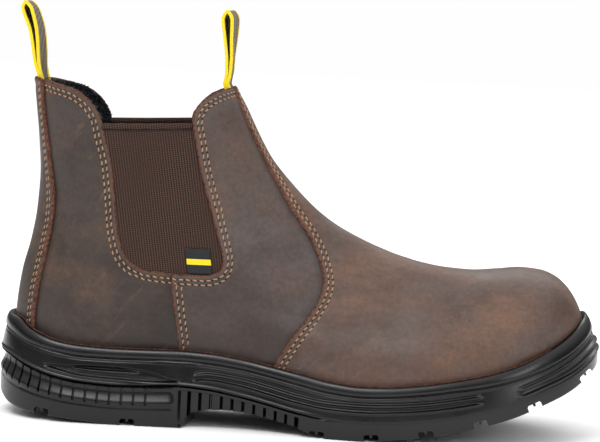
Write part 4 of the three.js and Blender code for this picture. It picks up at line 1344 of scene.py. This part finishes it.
def lay(template, places, directions, normals, tilt, rise):
    """Copies of a template, each along its direction and turned a little in the surface."""
    points, faces = template
    across = unit(np.cross(normals, directions))
    turn = np.radians(tilt)[:, None]
    x_axis = directions * np.cos(turn) + across * np.sin(turn)
    y_axis = unit(np.cross(normals, x_axis))
    copies = (points[None, :, 0, None] * x_axis[:, None] + points[None, :, 1, None] * y_axis[:, None]
              + (points[None, :, 2, None] + rise) * normals[:, None] + places[:, None])
    count = len(points)
    every = [[v + i * count for v in face] for i in range(len(places)) for face in faces]
    return copies.reshape(-1, 3), every


def sew(name, rows, side):
    """One side's stitches and needle holes."""
    places, directions, normals = (np.vstack(part) for part in zip(*rows))
    random = np.random.default_rng(SEED + side)
    tilt = STITCH_TILT * side + random.normal(0, STITCH_TILT_SPREAD, len(places))
    points, faces = lay(capsule_template(), places, directions, normals, tilt, THREAD_PROUD)
    mesh_object(f"stitches_{name}", points, faces, THREAD, "upper_leather", "upper")
    ends = places - directions * STITCH_PITCH / 2
    points, faces = lay(hole_template(), ends, directions, normals, tilt * 0, 0.0)
    mesh_object(f"needle_holes_{name}", points, faces, PAINTED_SHADE_CLOTH, "upper_leather", "upper")


def rim_path():
    """The raw edge that the stitching follows: rear collar, round the elastic, front collar."""
    rear, gore_from = meet(REAR_TOP, GORE_CURVE[:GORE_HALF])
    front, gore_to = meet(FRONT_TOP, GORE_CURVE[GORE_HALF:])
    return np.vstack([
        stretch(REAR_TOP, meet(REAR_TOP, STRAP_CURVE)[0], rear)[:-1],
        stretch(GORE_CURVE, gore_from, gore_to + GORE_HALF)[:-1],
        stretch(FRONT_TOP, front, meet(FRONT_TOP, VAMP_CURVE)[0]),
    ])


def row_run(curve, upper, start=0):
    """The stretch of a seam that is sewn, from the curve above it to just over the sole."""
    return stretch(curve, meet(curve, upper)[0] + start, meet(curve, BOTTOM)[0] - ROW_END)


def make_stitching():
    rim = resample(rim_path(), CURVE_STEP)
    # the rim's place over the side seam, where the rear quarter's rows give way to the front one's
    upper = rim[:, 1] > ELASTIC_FOOT
    split = np.argmin(np.abs(rim[:, 0] - SEAM_CURVE[0, 0]) + upper * 1000)
    rim_rear, rim_front = rim[:split + REAR_ROW_OVERRUN], rim[split:]
    vamp_run, strap_run = row_run(VAMP_CURVE, FRONT_TOP), row_run(STRAP_CURVE, REAR_TOP)
    seam_run = row_run(SEAM_CURVE, GORE_CURVE, SEAM_ROW_START)
    for side, label in SIDES:
        rows = []
        for i, distance in enumerate(EDGE_ROWS):
            for run, off, out, relief in (
                    (rim_rear, -distance, REAR_OUT, quarter_relief),
                    (rim_front, -distance, FRONT_OUT, quarter_relief),
                    (vamp_run, distance, 0, vamp_relief),
                    (strap_run, -distance, 0, soft_relief)):
                rows.append(seam_row(run, side, off, out, relief, i * ROW_LAG))
        for i, distance in enumerate(SEAM_ROWS):
            rows.append(seam_row(seam_run, side, distance, FRONT_OUT, quarter_relief, i * ROW_LAG))
        sew(label, rows, side)


for side, label in SIDES:
    make_gore(side, label)
    make_hem(side, label)
    make_hem_seam(side, label)
for side, label in SIDES:
    make_rear_lining(side, label)
make_front_lining()
make_tufts()
make_stitching()


# The sole

LEAN = through([0.0, 0.2, 0.8, 0.95, 1.0], [3.6, 3.2, 3.2, 5, 7.4])
LENS = (0.08, 0.307)
RAILS = (0.325, 0.8)
TOE_RAILS = (0.856, 1.1)
COMB = (-0.1, 0.3)
WINDOW_EDGE = 0.012
COMB_LOW = 0.49
COMB_DEPTH = 1.9
COMB_PITCH = 6.1
COMB_LAST = -76.8
SLIT_DEEP = 1.5
ARCH_SPAN = (-0.196, 0.004)
ARCH_PITCH = 5.4
BAR_PROUD, BAR_GROOVE = 2.0, 1.5
UNDERCUT = 5
UNDERCUT_DROP = 2.0
SIDE_WALL = 5
BED_THICK = 3
PARTING_INSET = 0.6
BEAD_OUT = 1.0


def within(x, band):
    return ease((share_of(x) - band[0]) / WINDOW_EDGE) * ease((band[1] - share_of(x)) / WINDOW_EDGE)


HALF_TURN = 4000
COLUMN_STEP, FINE_STEP = 0.95, 0.5
# The comb's slits: half their width at the mouth and at the foot, and how far other columns keep away
SLIT_HALF, SLIT_FOOT, SLIT_CLEAR = 0.66, 0.5, 0.2
SLOPE_REACH = 0.8


def outline_columns():
    """Points round the outsole, outer side first from the heel, closer together where detail is fine."""
    angle = np.linspace(0, 2 * math.pi, 2 * HALF_TURN + 1)
    x = -HALF * np.cos(angle)
    y = plan_y(x, np.where(angle <= math.pi, -1.0, 1.0))
    run = np.concatenate([[0], np.cumsum(np.hypot(np.diff(x), np.diff(y)))])
    total = run[-1]
    at = [0.0]
    while at[-1] < total - 0.5:
        here = share_of(np.interp(at[-1], run, x))
        fine = ARCH_SPAN[0] + 0.5 - 0.01 < here < ARCH_SPAN[1] + 0.5 + 0.01
        at.append(at[-1] + (FINE_STEP if fine else COLUMN_STEP))
    at = np.array(at[:-1])
    half_run = run[HALF_TURN]
    last = np.interp(COMB_LAST, x[:HALF_TURN + 1], run[:HALF_TURN + 1])
    slits = last - COMB_PITCH * np.arange(0, 60)
    slits = np.concatenate([slits[slits > 0.0], [0.0], total - slits[slits > 0.0]])
    slits = slits[(slits < last + 1) | (slits > total - last - 1)]
    edges = (-SLIT_HALF, -SLIT_FOOT, 0.0, SLIT_FOOT, SLIT_HALF)
    marks = np.concatenate([slits + d for d in edges]) % total
    clear = np.abs(at[:, None] - marks[None]).min(1) > SLIT_CLEAR
    at = np.sort(np.concatenate([at[clear], marks]))
    at = at[np.concatenate([[True], np.diff(at) > 1e-3])]
    px, py = np.interp(at, run, x), np.interp(at, run, y)
    ahead, behind = (at + SLOPE_REACH) % total, (at - SLOPE_REACH) % total
    dx = np.interp(ahead, run, x) - np.interp(behind, run, x)
    dy = np.interp(ahead, run, y) - np.interp(behind, run, y)
    length = np.hypot(dx, dy)
    slit_gap = np.abs(at[:, None] - slits[None])
    slit_gap = np.minimum(slit_gap, total - slit_gap).min(1)
    return px, py, dy / length, -dx / length, at, slit_gap, half_run


COLUMN_X, COLUMN_Y, OUT_X, OUT_Y, COLUMN_RUN, SLIT_GAP, HALF_RUN = outline_columns()
COLUMNS = len(COLUMN_X)


def ring(height, inset):
    inset = inset + np.zeros(COLUMNS)
    return np.stack([COLUMN_X - OUT_X * inset, COLUMN_Y - OUT_Y * inset, height + np.zeros(COLUMNS)], -1)


def ring_body(name, rings, material, slot, node):
    """A closed body through rings round the sole, each end closed by strips across the foot."""
    grid = np.arange(len(rings) * COLUMNS).reshape(len(rings), COLUMNS)
    faces = wall_faces(grid)
    for level, turned in ((grid[0], False), (grid[-1], True)):
        near, far = list(level[COLUMN_RUN <= HALF_RUN]), list(level[COLUMN_RUN > HALF_RUN][::-1])
        faces += strip_faces(near, far, turned)
    body = mesh_object(name, np.vstack(rings), faces, material, slot, node)
    outward_faces(body)
    return body


def strip_faces(near, far, turned):
    """Triangles between the two sides' points, walked from the heel to the toe."""
    x = COLUMN_X[[i % COLUMNS for i in near]], COLUMN_X[[i % COLUMNS for i in far]]
    faces, i, j = [], 0, 0
    while i < len(near) - 1 or j < len(far) - 1:
        step_near = j == len(far) - 1 or (i < len(near) - 1 and x[0][i + 1] <= x[1][j + 1])
        if step_near:
            face = [near[i], far[j], near[i + 1]]
            i += 1
        else:
            face = [near[i], far[j], far[j + 1]]
            j += 1
        faces.append(face[::-1] if turned else face)
    return [[int(v) for v in face] for face in faces]


def ridge(z, at, wide, sharp=2):
    return np.exp(-np.abs((z - at) / wide) ** sharp)


def side_inset(x, z):
    """How far the midsole's moulded side lies inside the outline at a height."""
    low, high, bead, lip = (line(name, x) for name in ("low", "high", "bead", "lip"))
    parting = line("parting", x)
    share = np.clip((z - parting) / (lip - parting), 0, 1)
    inset = LEAN(share_of(x)) * share ** 1.3
    t = np.clip((z - bead) / (lip - bead), 0, 1)
    inset = inset - BEAD_OUT * np.sin(math.pi * np.clip(t * 0.92 + 0.04, 0, 1)) ** 0.7 * (z > bead)
    inset = inset + 0.75 * ridge(z, bead, 0.42)
    inset = inset + 0.22 * ridge(z, bead - 1.5, 0.28)
    rails = within(x, RAILS) + within(x, TOE_RAILS)
    inset = inset - rails * 1.25 * (ridge(z, low, 0.55, 4) + ridge(z, high, 0.55, 4))
    inset = inset + rails * 0.6 * (ridge(z, (low + high) / 2, 1.2, 4) + ridge(z, high + 1.3, 0.5))
    lens = within(x, LENS) * ease((z - low) / 0.7) * ease((high - z) / 0.7)
    along = np.clip((x + 114) / 33, 0, 1)
    leaf = ridge(z, low + 0.72 * (high - low), 0.2 + 0.55 * np.sin(math.pi * along), 4) * (along > 0) * (along < 1)
    inset = inset + lens * (1.4 + 1.1 * leaf + 0.14 * np.sin((z - low) * 7.5) * (z < low + 0.5 * (high - low)))
    inset = inset - within(x, LENS) * 0.3 * ridge(z, low - 0.4, 0.6)
    inset = inset - 0.5 * parting_open(x) * ridge(z, parting + 1.0, 0.8)
    return inset


MIDSOLE_RINGS = (12, 18, 16, 20)


def parting_open(x):
    """How open the seam between the sole's layers shows: it closes towards the forefoot."""
    return 1 - 0.96 * ease((share_of(x) - 0.5) / 0.07)


def make_midsole():
    x = COLUMN_X
    parting, lip, floor = line("parting", x), line("lip", x), line("floor", x)
    bed = np.minimum(parting, floor - BED_THICK)
    rings = [ring(bed - BED_THICK, SIDE_WALL - 1), ring(parting - 0.1, PARTING_INSET * parting_open(x) + 0.6)]
    lines = [parting] + [line(name, x) for name in ("low", "high", "bead")] + [lip - 0.35]
    for index, count in enumerate(MIDSOLE_RINGS):
        for level in np.arange(count) / count:
            z = lines[index] + (lines[index + 1] - lines[index]) * level
            soft = PARTING_INSET * parting_open(x) * (1 - ease((z - parting) / 1.0))
            rings.append(ring(z, side_inset(x, z) + soft))
    top = side_inset(x, lip - 0.35)
    toe = ease((share_of(x) - 0.8) / 0.2)
    inner = 6.6 + 1.5 * toe
    rings.append(ring(lip - 0.05, top + 0.35))
    rings.append(ring(lip, np.minimum(top + 0.9, inner - 0.2)))
    rings.append(ring(lip - 0.3, inner))
    rings.append(ring(floor - 0.4, inner + 1))
    ring_body("midsole_rand", rings, RUBBER, "sole_rubber", "midsole")


LIP_LINE_RADIUS, LIP_LINE_INSET, LIP_LINE_END = 0.27, 5.6, 0.92


def make_lip_line():
    """Raw hide that just shows along the sole's lip, from one side of the toe round the heel to the other."""
    lip = line("lip", COLUMN_X)
    wave = 0.1 * np.sin(COLUMN_RUN * 1.7) * np.sin(COLUMN_RUN * 0.53)
    loops = np.stack([ring(lip + 0.05 + wave + LIP_LINE_RADIUS * math.sin(turn),
                           LIP_LINE_INSET + LIP_LINE_RADIUS * math.cos(turn))
                      for turn in np.linspace(0, 2 * math.pi, 6, endpoint=False)], 1)
    kept = share_of(COLUMN_X) < LIP_LINE_END
    outer = COLUMN_RUN <= HALF_RUN
    path = np.vstack([loops[kept & ~outer], loops[kept & outer]])[::2]
    tube("lip_line", path, RAW_EDGE, "upper_leather", "upper")


OUTSOLE_LEVELS = 26
TOP_DROPS = (2.5, 2.1, 1.9, 1.2, 0.6)


def outsole_inset(x, z):
    """How far the outsole's side lies inside the outline: toothed band at the heel, ribs at the arch."""
    bottom, parting = line("bottom", x), line("parting", x)
    share = (z - bottom) / (parting - bottom)
    band = within(x, COMB)
    hollow = ease((share - 0.57) / 0.28) * ease((0.97 - share) / 0.04)
    inset = band * COMB_DEPTH * hollow
    tooth = ease((SLIT_HALF - SLIT_GAP) / 0.16) * ease((share - COMB_LOW - 0.03) / 0.03) * ease((0.97 - share) / 0.05)
    inset = inset + band * SLIT_DEEP * tooth * (1 - hollow * 0.6)
    inset = inset - band * 0.35 * ridge(share, 0.57, 0.06) + band * 0.3 * ridge(share, COMB_LOW - 0.03, 0.025)
    edge = 0.006
    arch = ease((share_of(x) - 0.5 - ARCH_SPAN[0]) / edge) * ease((ARCH_SPAN[1] - share_of(x) + 0.5) / edge)
    arch = arch * ease((parting - UNDERCUT_DROP + 0.1 - z) / 0.3)
    phase = ((x - ARCH_SPAN[0] * LENGTH) / ARCH_PITCH) % 1 - 0.5
    slot = ridge(np.abs(phase), 0.5, 0.085)
    bars = 1 - (2 * phase) ** 2
    return inset + arch * (UNDERCUT - BAR_PROUD - 0.5 * bars + BAR_GROOVE * slot)


def make_outsole():
    x = COLUMN_X
    bottom, parting = line("bottom", x), line("parting", x)
    bed = np.minimum(parting, line("floor", x) - BED_THICK)
    rings = [ring(bottom, 1.3), ring(bottom + 0.25, 0.65), ring(bottom + 0.75, 0.15)]
    top = parting - TOP_DROPS[0]
    for level in np.linspace(0, 1, OUTSOLE_LEVELS):
        z = bottom + 1.4 + (top - bottom - 1.4) * level
        rings.append(ring(z, outsole_inset(x, z)))
    for drop in TOP_DROPS[1:]:
        rings.append(ring(parting - drop, outsole_inset(x, parting - drop)))
    rings.append(ring(parting - GAP * parting_open(x), (PARTING_INSET + 0.4) * parting_open(x)))
    rings.append(ring(bed - GAP, SIDE_WALL))
    body = ring_body("outsole_tread", rings, RUBBER, "sole_rubber", "outsole")
    for cutter in (arch_cutter(), channel_cutter(), middle_cutter(), sipe_cutter()):
        carve(body, cutter)
    shade_sharp(body, 38)


def carve(body, cutter):
    """Takes a closed cutter out of a body."""
    modifier = body.modifiers.new("carve", "BOOLEAN")
    modifier.object = cutter
    modifier.operation = "DIFFERENCE"
    modifier.solver = "MANIFOLD"
    bpy.context.view_layer.update()
    depsgraph = bpy.context.evaluated_depsgraph_get()
    carved = bpy.data.meshes.new_from_object(body.evaluated_get(depsgraph))
    body.modifiers.clear()
    old = body.data
    body.data = carved
    bpy.data.meshes.remove(old)
    bpy.data.objects.remove(cutter)


def shade_sharp(piece, degrees):
    """Smooth shading with edges sharper than an angle kept crisp."""
    work = bmesh.new()
    work.from_mesh(piece.data)
    for edge in work.edges:
        edge.smooth = edge.is_manifold and edge.calc_face_angle(0) < math.radians(degrees)
    for face in work.faces:
        face.smooth = True
    work.to_mesh(piece.data)
    work.free()


def cutter_object(name, shells):
    """A plain closed mesh for carving, from (points, faces) shells."""
    points, faces = [], []
    for shell_points, shell_faces in shells:
        faces += [[v + len(points) for v in face] for face in shell_faces]
        points += [list(p) for p in shell_points]
    mesh = bpy.data.meshes.new(name)
    mesh.from_pydata((np.array(points) * MM).tolist(), [], faces)
    cutter = bpy.data.objects.new(name, mesh)
    bpy.context.scene.collection.objects.link(cutter)
    outward_faces(cutter)
    return cutter


def loft(loops):
    """A closed shell through equal loops."""
    return np.vstack(loops), closed_faces(len(loops), len(loops[0]))


ARCH = [
    [-0.2, -0.04], [-0.187, 0.026], [-0.176, 0.046], [-0.15, 0.057], [-0.118, 0.059], [-0.09, 0.056],
    [-0.06, 0.048], [-0.03, 0.037], [0.0, 0.025], [0.02, 0.012], [0.036, -0.004], [0.05, -0.04],
]
BREAST_BOW = 6
ARCH_LAYERS = 24


def arch_cutter():
    roof = np.array(ARCH) * [LENGTH, COLLAR_HEIGHT]
    loops = []
    for y in np.linspace(-0.65, 0.65, ARCH_LAYERS + 1) * BALL_WIDTH:
        bow = BREAST_BOW * max(0, 1 - (y / (BALL_WIDTH * 0.36)) ** 2)
        x = roof[:, 0] + bow * (roof[-1, 0] - roof[:, 0]) / (roof[-1, 0] - roof[0, 0])
        over = np.stack([x, np.full(len(x), y), roof[:, 1]], -1)
        under = over[::-1] * [1, 1, 0] + [0, 0, -SOLE_HEIGHT]
        loops.append(np.vstack([over, under]))
    return cutter_object("arch_cutter", [loft(loops)])


LUG_FIRST, LUG_PITCH, LUG_COUNT = 0.0325, 27.4, 6
LUG_DEPTH, LUG_GAP = 3.5, 7.5
HEEL_CHANNELS = (-0.42, -0.278)
TOOTH, TOOTH_TIP, TOOTH_TALL = 0.8, 0.7, 1.5
CHAMFER = 0.8
# How far cutters reach below the tread
CHANNEL_UNDER, RUN_UNDER = 8, 4


def channel_cutter():
    """Channels across the sole, with a small tooth left standing in each."""
    places = [share * LENGTH for share in HEEL_CHANNELS]
    places += [LUG_FIRST * LENGTH + i * LUG_PITCH for i in range(LUG_COUNT)]
    half, deep = LUG_GAP / 2, LUG_DEPTH
    section = [(-half, -CHANNEL_UNDER), (half, -CHANNEL_UNDER), (half, deep - CHAMFER), (half - CHAMFER, deep),
               (TOOTH, deep), (TOOTH * TOOTH_TIP, deep - TOOTH_TALL), (-TOOTH * TOOTH_TIP, deep - TOOTH_TALL),
               (-TOOTH, deep), (CHAMFER - half, deep), (-half, deep - CHAMFER)]
    shells = []
    for x in places:
        slope = float(line("bottom", x + 1) - line("bottom", x - 1)) / 2
        turn = math.atan(slope)
        loops = []
        for y in (-0.62 * BALL_WIDTH, 0.62 * BALL_WIDTH):
            loops.append(np.array([
                [x + a * math.cos(turn) - b * math.sin(turn), y,
                 float(line("bottom", x)) + a * math.sin(turn) + b * math.cos(turn)]
                for a, b in section]))
        shells.append(loft(loops))
    return cutter_object("channel_cutter", shells)


def run_cutter(name, runs):
    """Cutters that follow the sole's underside: each run is (points in plan, width, depth)."""
    shells = []
    for path, wide, deep in runs:
        path = np.array(path, float)
        along = unit(np.gradient(path, axis=0))
        across = np.stack([-along[:, 1], along[:, 0]], -1) * wide / 2
        bottom = line("bottom", path[:, 0])
        loops = []
        for p, a, z in zip(path, across, bottom):
            loops.append(np.array([[*(p - a), z - RUN_UNDER], [*(p + a), z - RUN_UNDER],
                                   [*(p + a), z + deep], [*(p - a), z + deep]]))
        shells.append(loft(loops))
    return cutter_object(name, shells)


MIDDLE_SPANS = ((0.0455, 0.4), (-0.4, -0.22))
MIDDLE_WIDE, MIDDLE_SWAY, MIDDLE_WAVE = 5.0, 4, 9


def middle_cutter():
    """A winding channel along the middle of forefoot and heel."""
    runs = []
    for start, end in MIDDLE_SPANS:
        x = np.linspace(start * LENGTH, end * LENGTH, 30)
        sway = MIDDLE_SWAY * np.sin((x - x[0]) / MIDDLE_WAVE)
        runs.append((np.stack([x, sway], -1), MIDDLE_WIDE, LUG_DEPTH - 0.3))
    return run_cutter("middle_cutter", runs)


SIPE_WIDE, SIPE_DEEP = 1.0, 1.8
SIPE_INNER, SIPE_REACH, SIPE_APART = 9, 0.76, 4.5
SIPE_SWAY, SIPE_POINTS = 1.6, 26
HEEL_SIPES = (-0.349, -0.243)


def sipe_cutter():
    """Fine wavy slits across each lug."""
    runs = []
    places = [LUG_FIRST * LENGTH + (i + 0.5) * LUG_PITCH for i in range(LUG_COUNT - 1)]
    for x in places + [share * LENGTH for share in HEEL_SIPES]:
        for side in (-1, 1):
            reach = SIPE_REACH * float(plan_reach(x, 0)) * float(toe_round(x, HALF))
            y = np.linspace(SIPE_INNER, reach, SIPE_POINTS) * side + float(plan_middle(x))
            for offset in (-SIPE_APART, SIPE_APART):
                wave = x + offset + SIPE_SWAY * np.sin(np.arange(SIPE_POINTS) * 1.25)
                runs.append((np.stack([wave, y], -1), SIPE_WIDE, SIPE_DEEP))
    return run_cutter("sipe_cutter", runs)


INSOLE_SPAN, INSOLE_SLICES, INSOLE_ROUND = (-0.46, 0.455), 240, 14
# Points across a slice of the footbed, above and below
ABOVE, BELOW = 25, 9
DISH = 1.2


def make_insole():
    """Footbed: follows the upper's inside, dished under the heel."""
    x = np.linspace(*INSOLE_SPAN, INSOLE_SLICES) * LENGTH
    top = line("floor", x) + GAP + INSOLE_THICK
    side_y = []
    for side in (-1, 1):
        row, u = locate(np.stack([x, top], -1))
        side_y.append(skin(row, u * side, np.full(len(row), -WALL - 0.1))[:, 1])
    across = np.concatenate([np.linspace(-1, 1, ABOVE), np.linspace(1, -1, BELOW)])
    upper = np.abs(across[:ABOVE])
    dish = DISH * upper ** 3 - 0.9
    loops = []
    for i in range(len(x)):
        end = rounded(min(x[i] - x[0], x[-1] - x[i]) / INSOLE_ROUND + 0.004, 2.0)
        middle, reach = (side_y[0][i] + side_y[1][i]) / 2, (side_y[1][i] - side_y[0][i]) / 2
        reach *= max(end, 0.05)
        z = np.concatenate([top[i] - 0.4 + dish - 0.5 * (upper > 0.98), np.full(BELOW, top[i] - INSOLE_THICK)])
        y = middle + np.clip(reach, 0.5, None) * across
        loops.append(np.stack([np.full(ABOVE + BELOW, x[i]), y, z], -1))
    piece = mesh_object("footbed", *loft(loops), INSOLE_CLOTH, "lining", "insole")
    outward_faces(piece)
    shade_sharp(piece, 50)


# Tag and pull loops. The tag's lower front corner, and its grid, of which some rows are the stripe
TAG_LOW, TAG_FRONT, TAG_SHIFT = 0.4535, -0.1545, 1.3
TAG_LEAN, TAG_EDGE = 1.4, 0.55
TAG_STEPS, TAG_STRIPE = 22, (8, 12)


def make_tag():
    """Woven tag on the outer elastic, with a plain yellow stripe."""
    low, front = TAG_LOW * COLLAR_HEIGHT, TAG_FRONT * LENGTH + TAG_SHIFT
    steps = TAG_STEPS
    out = GORE_OUT + GAP
    grid = []
    for i in range(steps + 1):
        t = i / steps
        x = np.linspace(front - TAG_SIDE, front, steps + 1) - TAG_LEAN * t
        row, u = locate(np.stack([x, np.full(steps + 1, low + TAG_SIDE * t)], -1))
        grid.append(np.stack([row, -u], -1))
    grid = np.array(grid)
    edge = np.ones((steps + 1, steps + 1)) * TAG_THICK
    edge[[0, -1]] = edge[:, [0, -1]] = TAG_THICK * TAG_EDGE
    row, u = grid[..., 0].ravel(), grid[..., 1].ravel()
    face = skin(row, u, out + edge.ravel())
    back = skin(row, u, np.full(len(row), out))
    n = steps + 1
    index = np.arange(n * n).reshape(n, n)
    faces, kinds = [], []
    for a, sign in ((index, 1), (index + n * n, -1)):
        quads = np.stack([a[:-1, :-1], a[:-1, 1:], a[1:, 1:], a[1:, :-1]], -1).reshape(-1, 4)
        faces += (quads if sign > 0 else quads[:, ::-1]).tolist()
        level = np.repeat(np.arange(steps), steps)
        kinds += ((level >= TAG_STRIPE[0]) & (level <= TAG_STRIPE[1]) & (sign > 0)).astype(int).tolist()
    rim = np.concatenate([index[0], index[1:, -1], index[-1, :-1][::-1], index[1:-1, 0][::-1]])
    for a, b in zip(rim, np.roll(rim, -1)):
        faces.append([a, a + n * n, b + n * n, b])
        kinds.append(0)
    piece = mesh_object("side_tag_cloth", np.vstack([face, back]), faces, [TAG_CLOTH, RIBBON_RIM],
                        "tag_cloth", "side_tag")
    piece.data.polygons.foreach_set("material_index", kinds)
    outward_faces(piece)


LOOP_WIDTH = through([0.0, 0.25, 0.6, 0.88, 1.0], [0.0, 0.35, 0.9, 1.5, 0.0])
LOOP_BEND = through([0.0, 0.25, 0.6, 0.9, 1.0], [0.0, 0.1, 0.35, 0.85, 1.0])
BACK_TWIST = through([0.0, 0.35, 0.7, 1.0], [3.0, 6.5, 6.0, 3.0])
FRONT_TWIST = through([0.0, 0.35, 0.7, 1.0], [2.0, 2.0, 7.0, 9.0])
LOOP_HUG = 1.9
LOOP_STEPS, TAIL_POINTS, TAIL_TOP = 44, 8, -1.2
RIBBON_STEP = 0.8
RIM_WIDE = 2.2
RIM_PROUD = 0.28
# The ribbon between its rims, as a share of its half thickness
RIBBON_FLAT = 0.78


def make_loop(name, foot_x, lean, node, inner_slope, twist, forward):
    """A folded ribbon with yellow rims, turned a little on the collar."""
    strand = []
    for sign in (1, -1):
        h = np.sin(math.pi / 2 * np.linspace(0, 1, LOOP_STEPS))
        out = LOOP_SLIT * LOOP_WIDTH(h) / 2 + RIBBON_THICK / 2 * np.minimum(1, (1 - h) * 18)
        x = foot_x + lean * LOOP_BEND(h) + sign * out
        z = COLLAR_HEIGHT + LOOP_RISE + h * (LOOP_HEIGHT - RIBBON_THICK / 2)
        down = np.linspace(-LOOP_TUCK, TAIL_TOP, TAIL_POINTS)
        tail = np.stack([foot_x + sign * RIBBON_THICK / 2 + inner_slope * down,
                         COLLAR_HEIGHT + LOOP_RISE + down], -1)
        strand.append(np.vstack([tail, np.stack([x, z], -1)]))
    path = resample(np.vstack([strand[0], strand[1][::-1][1:]]), RIBBON_STEP)
    along = unit(np.gradient(path, axis=0))
    side = np.stack([along[:, 1], -along[:, 0]], -1)
    half, rim = RIBBON_WIDTH / 2, RIM_WIDE
    stations = [(-half, 0.0), (-half, 0.7), (-half + 0.5, 1.0), (-half + rim - 0.3, 1.0), (-half + rim, 0.6),
                (-half + rim + 0.1, 0.0)]
    flat = RIBBON_THICK / 2 * RIBBON_FLAT
    profile = [(y, flat + RIM_PROUD * p) for y, p in stations]
    profile += [(y, flat) for y in np.linspace(-half + rim + 1.5, half - rim - 1.5, 7)]
    profile += [(-y, t) for y, t in profile[:len(stations)][::-1]]
    section = profile + [(y, -t) for y, t in profile[::-1]]
    loops = []
    for p, s in zip(path, side):
        angle = -math.radians(float(twist((p[1] - COLLAR_HEIGHT) / LOOP_HEIGHT)))
        hug = forward * LOOP_HUG * (1 - ease((p[1] - COLLAR_HEIGHT + 3) / 12))
        pts = np.array([[p[0] + s[0] * t - foot_x + hug * (y / half) ** 2, y, p[1] + s[1] * t] for y, t in section])
        turned = pts.copy()
        turned[:, 0] = pts[:, 0] * math.cos(angle) - pts[:, 1] * math.sin(angle) + foot_x
        turned[:, 1] = pts[:, 0] * math.sin(angle) + pts[:, 1] * math.cos(angle)
        loops.append(turned)
    points, faces = loft(loops)
    piece = mesh_object(name, points, faces, [RIBBON_FACE, RIBBON_RIM], "loop_webbing", node)
    wide = np.array([abs(y) for y, _ in section])
    around = len(section)
    kinds = []
    for face in faces:
        if len(face) == 4:
            kinds.append(int(max(wide[v % around] for v in face) > half - rim + 0.05))
        else:
            kinds.append(1)
    piece.data.polygons.foreach_set("material_index", kinds)
    outward_faces(piece)
    shade_sharp(piece, 60)


make_midsole()
make_lip_line()
make_outsole()
make_insole()
make_tag()
make_loop("back_ribbon", float(back_x(COLLAR_HEIGHT)) + WALL, BACK_LEAN, "back_pull_loop", -0.22, BACK_TWIST, 1)
make_loop("front_ribbon", -0.1286 * LENGTH - WALL - GAP, FRONT_LEAN, "front_pull_loop", -0.62, FRONT_TWIST, -1)


# Floor, camera and light

FLOOR_HALF = 6.0


def make_floor():
    mesh = bpy.data.meshes.new("floor")
    half = FLOOR_HALF
    mesh.from_pydata([(-half, -half, 0), (half, -half, 0), (half, half, 0), (-half, half, 0)], [], [(0, 1, 2, 3)])
    floor = bpy.data.objects.new("floor", mesh)
    bpy.context.scene.collection.objects.link(floor)
    mesh.materials.append(new_material("floor_white", Base_Color=colour("#fcfcfc"), Roughness=0.95)[0])


CAMERA_DISTANCE = 1300
CAMERA_RISE = math.radians(5)
CAMERA_ROLL = math.radians(2.8)
CAMERA_AIM = Vector((-3.3, 0, 104.4)) * MM
CAMERA_LENS, CAMERA_SENSOR = 151.3, 36


def make_camera():
    data = bpy.data.cameras.new("camera")
    data.lens = CAMERA_LENS
    data.sensor_width = CAMERA_SENSOR
    camera = bpy.data.objects.new("camera", data)
    bpy.context.scene.collection.objects.link(camera)
    up = Vector((0, math.sin(CAMERA_RISE), math.cos(CAMERA_RISE)))
    right = Vector((1, 0, 0))
    back = Vector((0, -math.cos(CAMERA_RISE), math.sin(CAMERA_RISE)))
    rolled_right = right * math.cos(CAMERA_ROLL) + up * math.sin(CAMERA_ROLL)
    rolled_up = up * math.cos(CAMERA_ROLL) - right * math.sin(CAMERA_ROLL)
    turn = Matrix((rolled_right, rolled_up, back)).transposed().to_4x4()
    camera.matrix_world = Matrix.Translation(CAMERA_AIM + back * CAMERA_DISTANCE * MM) @ turn
    bpy.context.scene.camera = camera


def area_light(name, place, aim, size, power):
    data = bpy.data.lights.new(name, "AREA")
    data.shape = "RECTANGLE"
    data.size, data.size_y = size
    data.energy = power
    light = bpy.data.objects.new(name, data)
    bpy.context.scene.collection.objects.link(light)
    light.location = place
    light.rotation_euler = (Vector(aim) - Vector(place)).to_track_quat("-Z", "Y").to_euler()


def make_world(seen, low, high):
    """A white studio: seen is what the camera sees, low and high light the boot from the sides and above."""
    world = bpy.data.worlds.new("studio")
    bpy.context.scene.world = world
    world.use_nodes = True
    tree = world.node_tree
    background = tree.nodes["Background"]
    background.inputs["Color"].default_value = (1, 1, 1, 1)
    camera_ray = tree.nodes.new("ShaderNodeLightPath").outputs["Is Camera Ray"]
    direction = tree.nodes.new("ShaderNodeTexCoord").outputs["Generated"]
    height = place_node(tree, "ShaderNodeSeparateXYZ", {"Vector": direction}).outputs[2]
    level = spread(tree, height, 0.05, 0.85, low, high)
    tree.links.new(spread(tree, camera_ray, 0, 1, level, seen), background.inputs["Strength"])


bpy.context.scene.view_settings.view_transform = "Standard"
make_floor()
make_camera()
make_world(0.99, 0.12, 1.42)
area_light("key", (-0.45, -0.8, 1.2), (0, 0, 0.05), (0.8, 0.35), 9)
area_light("side", (0.8, -1.05, 0.5), (0.02, 0, 0.08), (0.35, 0.6), 3.2)
area_light("back", (0.3, 1.0, 1.1), (0, 0, 0.1), (1.2, 0.5), 4)

bpy.context.view_layer.update()
